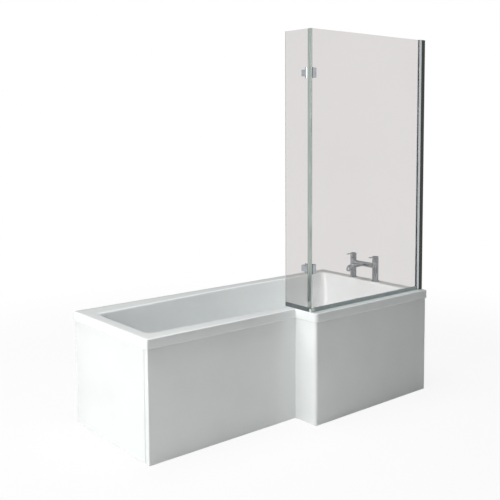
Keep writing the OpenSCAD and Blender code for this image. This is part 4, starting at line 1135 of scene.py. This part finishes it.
@dataclass
class Panels:
    """The front panel in one moulding, the end panel, their clips and the battens at their foot."""

    thick: float = 5.0
    top: float = 551.0
    edge: float = 1.8
    line: tuple[tuple[float, float], ...] = (
        (-842.0, -239.0), (-842.0, -267.0), (8.0, -267.0), (8.0, -417.0), (842.0, -417.0))
    outer_radii: tuple[float, ...] = (0.0, 4.0, 3.0, 16.0, 0.0)
    inner_radii: tuple[float, ...] = (0.0, 1.0, 8.0, 11.0, 0.0)
    end_box: tuple[float, float, float, float] = (-842.0, -837.0, -235.0, 417.0)

    def front(self) -> Skin:
        """The panel's section carried round its plan.

        A section point (d, z) goes to outer + (inner - outer) d / thick, where outer and inner are
        the panel's two faces in plan, eased with the same number of points.
        """
        line = np.asarray(self.line)
        inner = line + self.thick * np.array([[1, 0], [1, 1], [1, 1], [1, 1], [0, 1]])
        outside = eased(line, self.outer_radii, 8)
        inside = eased(inner, self.inner_radii, 8)
        section = rounded(rectangle(0, self.thick, 0, self.top), self.edge, 4)
        depth = section[:, 0, None, None] / self.thick
        plan = outside[None] + (inside - outside)[None] * depth
        high = np.broadcast_to(section[:, 1, None, None], plan.shape[:2] + (1,))
        rings = np.concatenate([plan, high], -1)
        return Skin().tube(rings.transpose(1, 0, 2))

    def end(self) -> Skin:
        """The flat end panel, with eased edges."""
        plan = rectangle(*self.end_box)
        return Skin().tube(slab(plan, self.edge, 0, self.top, self.edge, 4, 4))

    def build(self, bench: Bench) -> None:
        """Makes the two panels and dresses their clips and battens."""
        bench.make("front_panel_moulding", self.front(), 40, PANEL, "front_panel")
        bench.make("end_panel_moulding", self.end(), 40, PANEL, "end_panel")
        bench.eased("panel_clips", ZINC, 0.3, 1)
        bench.eased("plinth_battens", SPRUCE_X, 1.0, 2, SPRUCE_Y,
                    along_y(-811.0, (13.0, 38.6), (-391.0, -262.0)))


@dataclass
class UnderFrame:
    """The board and battens bonded to the shell, the rails and the feet that carry it."""

    feet: tuple[tuple[float, float], ...] = (
        (-527.0, 157.0), (52.5, 157.0), (632.0, 157.0), (-527.0, -42.0), (52.5, -42.0),
        (632.0, -42.0), (223.0, -209.0), (632.0, -209.0))
    rail_z: float = 119.0
    rail_thick: float = 2.0
    stud_radius: float = 5.0
    stud_low: float = 6.0
    stud_high: float = 133.0
    nut: float = 8.0
    nut_across: float = 16.4

    def studs(self) -> Skin:
        """Threaded studs, which stand in the pads."""
        skin = Skin()
        for x, y in self.feet:
            skin.tube(threaded(self.stud_radius, self.stud_low, self.stud_high, 3.0, 0.8, 20)
                      + [x, y, 0])
        return skin

    def nuts(self) -> Skin:
        """A nut under and a nut over the rail on each stud."""
        skin = Skin()
        for low in (self.rail_z - self.nut, self.rail_z + self.rail_thick):
            skin.copies(hexagon_nut(self.nut_across, 5.1, low, low + self.nut, 36), self.feet)
        return skin

    def pads(self) -> Skin:
        """Pads as turned profiles: a soft-edged sole, a coved step and a hub round the stud."""
        profile = np.concatenate([
            [[0.0, 0.0]],
            eased([[0, 0], [24, 0], [24, 6.6], [16, 7.4], [14.4, 9.5], [14.4, 14], [5.2, 14],
                   [5.2, 6]], [0, 1.5, 2.2, 3, 2, 1.2, 0.6, 0], 5),
            [[0.0, 6.0]]])
        return Skin().copies(lathe(profile, 40), self.feet, close_u=False)

    def build(self, bench: Bench) -> None:
        """Makes the feet and dresses the board, the battens, the rails and the hangers."""
        bench.dress(CHIPBOARD, 1.2, 2, "base_board")
        bench.eased("rim_battens", SPRUCE_X, 1.0, 2, SPRUCE_Y,
                    along_y(-815.0, (15.0, 35.0), (-391.0, -240.0)))
        bench.dress(ZINC, 0.4, 2, "support_rails")
        bench.dress(ZINC, 0.2, 1, "rail_screws")
        bench.make("foot_studs_threaded", self.studs(), 60, ZINC, "foot_studs")
        bench.make("foot_nuts_hexagon", self.nuts(), 25, ZINC, "foot_nuts")
        bench.make("foot_pads_moulded", self.pads(), 40, NYLON, "foot_pads")
        bench.dress(ZINC, 0.6, 2, "wall_hangers")


@dataclass
class Waste:
    """The waste, its trap, and the overflow with the knob that lifts the plug."""

    x: float = 570.0
    y: float = 30.0
    plug_z: float = 166.3
    overflow: tuple[float, float, float] = (763.294, 30.0, 423.0)
    lean: float = math.atan(40 / 340)
    pipe_x: float = 786.294
    pipe_z: float = 126.0
    pipe_top: float = 393.0
    pipe_start: float = 601.1
    pipe_radius: float = 14.0
    pipe_bore: float = 12.0
    bend: float = 34.0

    def at(self, points: Array) -> Array:
        """Points of the waste's own frame, moved over the waste."""
        return points + [self.x, self.y, 0]

    def on_wall(self, points: Array) -> Array:
        """Points of the overflow's frame: Z into the basin, square to the wall, and X up the wall."""
        up = (-math.cos(self.lean), 0.0, math.sin(self.lean))
        return placed(points, self.overflow, up, (math.sin(self.lean), 0.0, math.cos(self.lean)))

    def flange(self) -> Skin:
        """A dished flange on a screwed neck, with three bars that carry the plug's guide."""
        outside = eased([[20, 132.4], [20, 164.4], [23, 166], [33.5, 165.8], [35, 164.6], [35, 163],
                         [25, 163], [25, 157.6]], [0, 2, 3, 2, 0.8, 0.2, 0.2, 0], 5)
        z = spaced(157, 133, 40)
        thread = np.stack([24.6 + 0.4 * np.cos(z * 2 * math.pi / 3), z], -1)
        profile = np.concatenate([outside, thread, [[24.2, 132.4]]])
        skin = Skin().grid(self.at(lathe(profile, 64)), close_u=True, close_v=True)
        skin.grid(self.at(ring(8.0, 4.05, 134, 142, 0.8, 32)), close_u=True, close_v=True)
        bar = slab(rectangle(6.5, 20.8, -1.5, 1.5), 0.4, 134, 142, 0.5, 2, 3)
        for turn in np.arange(6) * math.pi / 3:
            skin.tube(self.at(placed(bar, (0, 0, 0), UP, (math.cos(turn), math.sin(turn), 0))))
        return skin

    def plug(self) -> Skin:
        """The plug: a shallow dome of radius 81, its rim, the neck for the seal and the stem."""
        r = spaced(0.01, 26.2, 16)
        dome = np.stack([r, np.sqrt(81 ** 2 - r ** 2) - 75], -1)
        rest = eased([[26.2, dome[-1, 1]], [27, 0.9], [26.6, 0], [18, 0], [18, -3], [16, -3],
                      [16, -6], [18, -6], [18, -10], [4, -10], [4, -47.6], [3.2, -48.3], [0.01, -48.3]],
                     [0, 0.6, 0.3, 0.3, 0, 0, 0, 0, 0.8, 0.8, 0.3, 0, 0], 4)
        return Skin().grid(self.at(lathe(np.concatenate([dome, rest]), 64)) + [0, 0, self.plug_z],
                           close_v=True)

    def nuts(self) -> Skin:
        """Two ring nuts with rounded grip ribs: the radius rises and falls round the nut.

        The outer radius is r - 0.9 (1 - |cos(n a / 2)|), for n ribs.
        """
        def ribbed(radius: float, bore: float, length: float, count: int) -> Array:
            grid = ring(radius, bore, 0, length, 1.5, count * 6, 4)
            angle = np.arange(count * 6) * 2 * math.pi / (count * 6)
            wide = np.hypot(grid[..., 0], grid[..., 1])
            dent = 0.9 * (1 - np.abs(np.cos(count * angle / 2)))[None] * (wide > radius - 1)
            grid[..., :2] *= ((wide - dent) / wide)[..., None]
            return grid
        inlet = self.at(ribbed(27.0, 20.1, 13.8, 20)) + [0, 0, 94.1]
        outlet = placed(ribbed(27.5, 21.6, 22.0, 20), (self.x, 72.0, 69.5), (0, 1, 0), (1, 0, 0))
        return Skin().grid(inlet, close_u=True, close_v=True).grid(outlet, close_u=True, close_v=True)

    def knob(self) -> Skin:
        """A dished knob with a rounded grip across it, on its shaft."""
        face = eased([[0.01, 14.2], [20, 14.2], [26, 15.0], [28, 13.4], [28, 10.4], [22, 10.4],
                      [22, 4.4], [5, 4.4], [5, -20], [0.01, -20]],
                     [0, 6, 2.5, 1.6, 1.2, 2, 0.6, 0.4, 0.5, 0], 5)
        grip = slab(rectangle(-23.8, 23.8, -4, 4), 3.9, 11, 22.4, 2.6, 8, 6)
        return Skin().grid(self.on_wall(lathe(face, 64)), close_v=True).tube(self.on_wall(grip))

    def pipe(self) -> Skin:
        """The overflow's pipe, down behind the tap end and back under the floor, open at both ends.

        The outer tube runs one way and the bore runs back inside it, so the skin closes on itself.
        """
        path = bent_path([(self.pipe_x, self.y, self.pipe_top), (self.pipe_x, self.y, self.pipe_z),
                          (self.pipe_start, self.y, self.pipe_z)], self.bend, (0, 1, 0), 14)
        outside = swept(path, circle(self.pipe_radius, 40), (0, 1, 0))
        bore = swept(path, circle(self.pipe_bore, 40), (0, 1, 0))
        return Skin().grid(np.concatenate([outside, bore[::-1]]), close_u=True, close_v=True)

    def clips(self) -> Skin:
        """Two worm-drive clips: a slotted band with rolled edges, its housing and its screw."""
        skin = Skin()
        for inner, at, up in ((17.05, (self.pipe_x, self.y, 377.0), (0, 0, 1)),
                              (18.05, (603.1, self.y, self.pipe_z), (1, 0, 0))):
            band = eased([[inner, 0], [inner + 1.0, 0], [inner + 0.7, 1], [inner + 0.7, 6],
                          [inner + 1.0, 7], [inner, 7]], [0, 0.3, 0.3, 0.3, 0.3, 0], 3)
            housing = slab(rectangle(inner + 0.4, inner + 6.4, -6, 6), 2.0, -0.8, 7.8, 1.0, 4, 3)
            screw = placed(threaded(2.6, -11, 7, 2.0, 0.5, 16), (inner + 3.6, 0, 3.5), (0, 1, 0))
            head = placed(slab(rounded(rectangle(-3, 3, -3, 3), 1.5, 3), 0.3, -13.5, -10.5, 0.6, 2, 2),
                          (inner + 3.6, 0, 3.5), (0, 1, 0))
            side = (0, -1, 0)
            skin.grid(placed(lathe(band, 48), at, up, side), close_u=True, close_v=True)
            for part in (housing, screw, head):
                skin.tube(placed(part, at, up, side))
        return skin

    def build(self, bench: Bench) -> None:
        """Makes the waste's and the overflow's pieces."""
        bench.make("waste_flange_dished", self.flange(), 30, CHROME, "waste_flange")
        bench.make("waste_plug_domed", self.plug(), 30, CHROME, "waste_plug")
        bench.dress(RUBBER, 0.4, 2, "waste_gasket", "plug_seal")
        bench.dress(POLYPROPYLENE, 0.8, 2, "waste_body")
        bench.make("trap_nuts_ribbed", self.nuts(), 40, NYLON, "trap_nuts")
        bench.dress(POLYPROPYLENE, 1.2, 3, "bath_trap")
        bench.dress(CHROME, 0.9, 3, "overflow_plate")
        bench.make("overflow_knob_turned", self.knob(), 30, CHROME, "overflow_knob")
        bench.dress(RUBBER, 0.4, 2, "overflow_gasket")
        bench.dress(POLYPROPYLENE, 1.0, 3, "overflow_body")
        bench.make("overflow_pipe_bent", self.pipe(), 40, PIPE, "overflow_pipe")
        bench.make("worm_drive_clips", self.clips(), 35, ZINC, "overflow_clips")


@dataclass
class BathFiller:
    """The bath filler: two pillars through the rim, a bridge, a spout and a lever on each pillar."""

    x: float = 815.0
    back_y: float = 120.0
    front_y: float = -60.0
    rim: float = 565.0
    top: float = 680.0
    bridge_z: float = 655.0
    cap_low: float = 680.6
    cap_high: float = 713.0
    spout_x: float = 683.0
    spout_y: float = 30.0
    spout_drop: float = 22.0

    @property
    def pillars(self) -> tuple[tuple[float, float], tuple[float, float]]:
        """Where the two pillars stand."""
        return (self.x, self.back_y), (self.x, self.front_y)

    def body(self) -> Skin:
        """Pillars and tails as turned profiles, and a bridge with a rounded section.

        The tail's radius is 12.8 + 0.4 cos(2 pi z / 2), its thread drawn coarse enough to show.
        """
        z = spaced(504.5, 568, 128)
        tail = np.stack([12.8 + 0.4 * np.cos(z * math.pi), z], -1)
        foot = [[7, 503], [12.0, 503], [12.6, 504]]
        post = eased([[13.1, 568.5], [13.1, 570], [17.9, 570], [18.5, 570.6], [18.5, 679.2],
                      [17.7, 680], [13, 680], [13, 660], [7, 660]],
                     [0, 0, 0.2, 0.4, 0.5, 0.5, 0.3, 0, 0], 3)
        profile = np.concatenate([foot, tail, post])
        skin = Skin().copies(lathe(profile, 64), self.pillars)
        section = rounded(rectangle(-13.5, 13.5, -13, 13), 8.0, 8, 3)
        y = np.array([self.front_y + 12, self.front_y + 40, (self.front_y + self.back_y) / 2,
                      self.back_y - 40, self.back_y - 12])
        path = np.stack([np.full(5, self.x), y, np.full(5, self.bridge_z)], -1)
        return skin.tube(swept(path, section, (1, 0, 0)))

    def spout(self) -> Skin:
        """A flattened section carried out over the basin and down at the tip.

        Its height goes from 20 at the bridge to 18.6 before the bend and to 19.6 at the tip, where
        the last ring closes in a little round the aerator.
        """
        tip = self.bridge_z - self.spout_drop
        path = bent_path([(self.x - 12, self.spout_y, self.bridge_z),
                          (self.spout_x, self.spout_y, self.bridge_z),
                          (self.spout_x, self.spout_y, tip)], 18.0, (0, 1, 0), 16)
        path = np.concatenate([path[:1], (path[:1] + path[1:2]) / 2, path[1:], path[-1:]])
        path[-2] = path[-1] + [0, 0, 0.8]
        high = np.interp(np.arange(len(path)), [0, 3, len(path) - 1], [20, 18.6, 19.6])
        section = np.stack([rounded(rectangle(-h / 2, h / 2, -14, 14), h / 2 - 2, 8, 2)
                            for h in high])
        section[-1] = section[-1] * 0.94
        rings = swept(path, section, (0, 1, 0))
        rings[-1] = at_height(rings[-1][:, :2], tip)
        return Skin().tube(rings)

    def aerator(self) -> Skin:
        """A stepped insert with three concentric flow rings in its mouth."""
        low = self.bridge_z - 27.0
        profile = eased([[0.01, low + 2.2], [1.6, low + 2.2], [1.6, low + 1.2], [2.6, low + 1.2],
                         [2.6, low + 2.2], [4.4, low + 2.2], [4.4, low + 1.2], [5.4, low + 1.2],
                         [5.4, low + 2.2], [7.4, low + 2.2], [7.4, low], [9.0, low], [9.5, low + 0.6],
                         [9.5, low + 5], [0.01, low + 5]],
                        [0] * 10 + [0.4, 0.4, 0.3, 0, 0], 3)
        return Skin().grid(lathe(profile, 40) + [self.spout_x, self.spout_y, 0], close_v=True)

    def lever(self, y: float) -> Skin:
        """A hollow cap, turned, with a flat blade that narrows a little towards its tip."""
        low, high = self.cap_low, self.cap_high
        cap = eased([[13, low], [17.9, low], [18.5, low + 0.6], [18.5, high - 3], [15.5, high - 0.4],
                     [12.5, high], [0.01, high]], [0, 0.3, 0.5, 2.4, 2.0, 3, 0], 6)
        hollow = np.array([[0.01, high - 10], [4.1, high - 10], [4.1, high - 19], [13, high - 21.4],
                           [13, low]])
        skin = Skin().grid(lathe(np.concatenate([cap, hollow]), 64) + [self.x, y, 0], close_v=True)
        plan = np.array([[-54, -6.2], [-10, -7], [-10, 7], [-54, 6.2]], float)
        blade = slab(plan, [4, 0.5, 0.5, 4], high - 6, high - 2, 1.4, 8, 5)
        return skin.tube(blade + [self.x, y, 0])

    def flanges(self) -> Skin:
        """Two turned base flanges with a coned top."""
        profile = eased([[13.3, 565], [25, 565], [25, 568], [19.5, 570], [13.3, 570]],
                        [0, 0.3, 1.2, 1.0, 0], 5)
        return Skin().copies(lathe(profile, 64), self.pillars)

    def backnuts(self) -> Skin:
        """Two brass nuts with turned seats under the rim."""
        return Skin().copies(hexagon_nut(35.8, 13.3, 548, 556, 72), self.pillars)

    def build(self, bench: Bench) -> None:
        """Makes the filler's pieces."""
        bench.make("filler_body_polished", self.body(), 30, CHROME, "filler_body")
        bench.make("filler_spout_polished", self.spout(), 40, CHROME, "filler_spout")
        bench.make("aerator_insert", self.aerator(), 30, ACETAL, "aerator")
        bench.make("tap_base_flanges", self.flanges(), 30, CHROME, "tap_flanges")
        bench.make("tap_backnuts_hexagon", self.backnuts(), 25, BRASS, "tap_backnuts")
        bench.make("back_lever_polished", self.lever(self.back_y), 30, CHROME, "back_lever")
        bench.make("front_lever_polished", self.lever(self.front_y), 30, CHROME, "front_lever")
        bench.dress(RUBBER, 0.4, 2, "tap_washers")
        bench.dress(BRASS, 0.5, 2, "headworks", "back_spindle", "front_spindle")


@dataclass
class Screen:
    """The glass screen on the rim: its wall profile, two panels of glass, hinges and seals."""

    def build(self, bench: Bench) -> None:
        """Dresses the screen, whose extrusions, cut glass and plates keep the CAD's shapes."""
        # The channel's dark colour is painted reflection
        bench.dress(PAINTED_REFLECTION_CHANNEL, 0.35, 2, "wall_channel")
        bench.dress(ALUMINIUM, 0.35, 2, "glazing_profile")
        # The corner strip's green cast is a painted reflection of the glass
        bench.dress(STRIP_PAINTED_REFLECTION, 0.35, 2, "corner_strip")
        bench.dress(ALUMINIUM, 0.3, 2, "channel_cap")
        bench.dress(ZINC, 0.25, 2, "profile_screws")
        bench.dress(RUBBER, 0.12, 1, "glazing_gasket", "hinge_gaskets", "leaf_gaskets")
        # Each pane's edges are the faces that don't look along its thickness
        for node, axis in (("main_glass", 1), ("return_glass", 0)):
            bench.eased(node, GLASS, 0.6, 2, GLASS_EDGE,
                        lambda _, normal, axis=axis: np.abs(normal[:, axis]) < 0.5)
        bench.dress(SEAL, 0.3, 2, "main_bottom_seal", "return_edge_seal")
        # The wiper's darker colour is painted shade
        bench.dress(WIPER_PAINTED_SHADE, 0.3, 2, "return_bottom_seal")
        # The cap's pale colour is partly painted highlight
        bench.dress(CAP_PAINTED_HIGHLIGHT, 1.2, 4, "corner_foot")
        bench.dress(CHROME, 0.7, 3, "lower_hinge_bracket", "upper_hinge_bracket",
                    "lower_hinge_leaf", "upper_hinge_leaf", "hinge_clamps", "leaf_clamps")
        bench.dress(STAINLESS, 0.4, 2, "hinge_pins")
        bench.dress(STAINLESS, 0.3, 2, "hinge_screws", "leaf_screws")


@dataclass
class Studio:
    """A plain pale floor, a white surround, soft lamps and the photograph's camera.

    Attributes:
        eye: Place of the camera, in metres, as are all places here.
        ambient: Strength of the even light; the camera, gloss and glass see plain white instead.
        open_from: Distance in metres past which the floor turns plain white, up to open_to.
        near_white: How plain white the floor is nearer than that.
        lamps: Name, place, width, height and watts of each lamp.
        mirrored: The lamps that gloss shows.
        cards: Name, place, width, height and tone of each card that only gloss shows.
        aim: Where the lamps and cards face.
    """

    eye: tuple[float, float, float] = (-2.5407, -3.1558, 1.4848)
    azimuth: float = -41.76
    elevation: float = 4.79
    focal_mm: float = 56.17
    sensor_mm: float = 36.0
    sight_m: float = 200.0
    shift: tuple[float, float] = (-0.10, -0.12)
    ambient: float = 0.03
    floor_mm: float = 60000.0
    open_from: float = 1.6
    open_to: float = 3.6
    near_white: float = 0.9
    tooth_per_m: float = 400.0
    tooth_m: float = 0.0001
    lamps: tuple[tuple[str, tuple[float, float, float], float, float, float], ...] = (
        ("end_softbox", (-8.0, -0.4, 3.0), 4.5, 3.5, 436.0),
        ("top_softbox", (-0.9, 0.4, 4.2), 2.6, 2.2, 105.0),
        ("front_softbox", (-2.6, -4.0, 1.8), 2.2, 2.0, 22.0),
        ("back_softbox", (2.6, 3.6, 2.2), 2.4, 2.0, 25.0))
    mirrored: tuple[str, ...] = ("end_softbox", "front_softbox")
    cards: tuple[tuple[str, tuple[float, float, float], float, float, float], ...] = (
        ("right_card", (2.05, -0.2, 0.7), 1.4, 1.4, 0.02),
        ("front_card", (0.0, -2.7, 0.6), 3.4, 1.4, 0.02),
        ("upper_card", (1.2, 1.5, 5.2), 5.0, 4.0, 0.02),
        ("back_card", (4.2, 4.8, 1.2), 8.0, 2.8, 0.08))
    aim: tuple[float, float, float] = (0.1, 0.0, 0.45)

    def world(self) -> None:
        """White for the camera, reflections and glass, and a dimmer even light for the rest."""
        world = bpy.data.worlds.new("studio_surround")
        bpy.context.scene.world = world
        tree = blank_tree(world)
        seen = self.seen(tree)
        light = add_node(tree, "ShaderNodeBackground",
                         {"Color": (1, 1, 1, 1), "Strength": self.ambient})
        white = add_node(tree, "ShaderNodeBackground", {"Color": (1, 1, 1, 1), "Strength": 1.0})
        mixed = add_node(tree, "ShaderNodeMixShader", {0: seen, 1: light.outputs[0],
                                                       2: white.outputs[0]})
        add_node(tree, "ShaderNodeOutputWorld", {"Surface": mixed.outputs[0]})

    @staticmethod
    def seen(tree: Tree) -> Socket:
        """1 for a ray that shows the backdrop: from the camera, off gloss or through glass."""
        path = add_node(tree, "ShaderNodeLightPath").outputs
        first = add_node(tree, "ShaderNodeMath",
                         {0: path["Is Camera Ray"], 1: path["Is Glossy Ray"]}, operation="MAXIMUM")
        return add_node(tree, "ShaderNodeMath",
                        {0: first.outputs[0], 1: path["Is Transmission Ray"]},
                        operation="MAXIMUM").outputs[0]

    def floor(self) -> None:
        """A wide flat floor that is near white to the eye and keeps a soft shadow."""
        half = self.floor_mm / 2
        mesh = Skin().cap(at_height(rectangle(-half, half, -half, half), 0)).mesh("studio_floor")
        made = bpy.data.materials.new("matt_white_floor")
        tree = blank_tree(made)
        coords = add_node(tree, "ShaderNodeTexCoord").outputs["Object"]
        tooth = add_node(tree, "ShaderNodeTexNoise",
                         {"Vector": coords, "Scale": self.tooth_per_m}).outputs[0]
        bump = add_node(tree, "ShaderNodeBump", {"Height": tooth, "Distance": self.tooth_m})
        matt = add_node(tree, "ShaderNodeBsdfDiffuse",
                        {"Color": linear("#F2F2F2"), "Normal": bump.outputs[0]})
        plain = add_node(tree, "ShaderNodeEmission", {"Color": (1, 1, 1, 1), "Strength": 1.0})
        away = add_node(tree, "ShaderNodeVectorMath", {0: coords}, operation="LENGTH")
        open_floor = add_node(tree, "ShaderNodeMapRange",
                              {"Value": away.outputs["Value"], "From Min": self.open_from,
                               "From Max": self.open_to, "To Min": self.near_white, "To Max": 1.0},
                              interpolation_type="SMOOTHSTEP")
        share = add_node(tree, "ShaderNodeMath", {0: self.seen(tree), 1: open_floor.outputs[0]},
                         operation="MULTIPLY")
        mixed = add_node(tree, "ShaderNodeMixShader",
                         {0: share.outputs[0], 1: matt.outputs[0], 2: plain.outputs[0]})
        add_node(tree, "ShaderNodeOutputMaterial", {"Surface": mixed.outputs[0]})
        mesh.materials.append(made)
        in_scene("studio_floor", mesh)

    def lamp(self, name: str, at: Sequence[float], wide: float, high: float, power: float) -> None:
        """One soft rectangular lamp, turned towards the bath."""
        light = bpy.data.lights.new(name, "AREA")
        light.shape = "RECTANGLE"
        light.size = wide
        light.size_y = high
        light.energy = power
        lamp = in_scene(name, light)
        lamp.location = at
        lamp.visible_camera = False
        lamp.visible_transmission = False
        lamp.visible_glossy = name in self.mirrored
        lamp.rotation_euler = (Vector(self.aim) - Vector(at)).to_track_quat("-Z", "Y").to_euler()

    def card(self, name: str, at: Sequence[float], wide: float, high: float, tone: float) -> None:
        """One card of a grey tone, seen only in reflections, which gives gloss its dark bands."""
        place = np.asarray(at)
        ahead = self.aim - place
        x, y = wide / 2 / MM, high / 2 / MM
        ring = placed(at_height(rectangle(-x, x, -y, y), 0), place / MM, ahead, np.cross(UP, ahead))
        mesh = Skin().cap(ring).mesh(name)
        card = in_scene(name, mesh)
        made = bpy.data.materials.new(name)
        tree = blank_tree(made)
        plain = add_node(tree, "ShaderNodeEmission", {"Color": (1, 1, 1, 1), "Strength": tone})
        add_node(tree, "ShaderNodeOutputMaterial", {"Surface": plain.outputs[0]})
        mesh.materials.append(made)
        card.visible_camera = False
        card.visible_diffuse = False
        card.visible_shadow = False
        card.visible_transmission = False

    def camera(self) -> None:
        """The camera, where the photograph's perspective puts it."""
        data = bpy.data.cameras.new("photograph_camera")
        data.sensor_width = self.sensor_mm
        data.lens = self.focal_mm
        data.shift_x, data.shift_y = self.shift
        data.clip_end = self.sight_m
        camera = in_scene("photograph_camera", data)
        camera.location = self.eye
        az, el = math.radians(self.azimuth), math.radians(self.elevation)
        ahead = Vector((-math.sin(az) * math.cos(el), math.cos(az) * math.cos(el), -math.sin(el)))
        camera.rotation_euler = ahead.to_track_quat("-Z", "Y").to_euler()
        bpy.context.scene.camera = camera

    def build(self) -> None:
        """Sets up the world, the floor, the lamps and the camera."""
        self.world()
        self.floor()
        for lamp in self.lamps:
            self.lamp(*lamp)
        for card in self.cards:
            self.card(*card)
        self.camera()
        bpy.context.scene.view_settings.view_transform = "Standard"


def corners(bounds: Any) -> list[list[float]]:
    return [[float(v) for v in corner] for corner in bounds]


def main() -> None:
    """Builds the pieces in order, from the bath out to the screen, and then the studio."""
    logging.basicConfig(level=logging.INFO, format="%(name)s: %(message)s")
    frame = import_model()
    bench = Bench(frame["nodes"])
    for part in (Bath(), Panels(), UnderFrame(), Waste(), BathFiller(), Screen()):
        part.build(bench)
    Studio().build()
    bpy.context.view_layer.update()


if __name__ == "__main__":
    main()
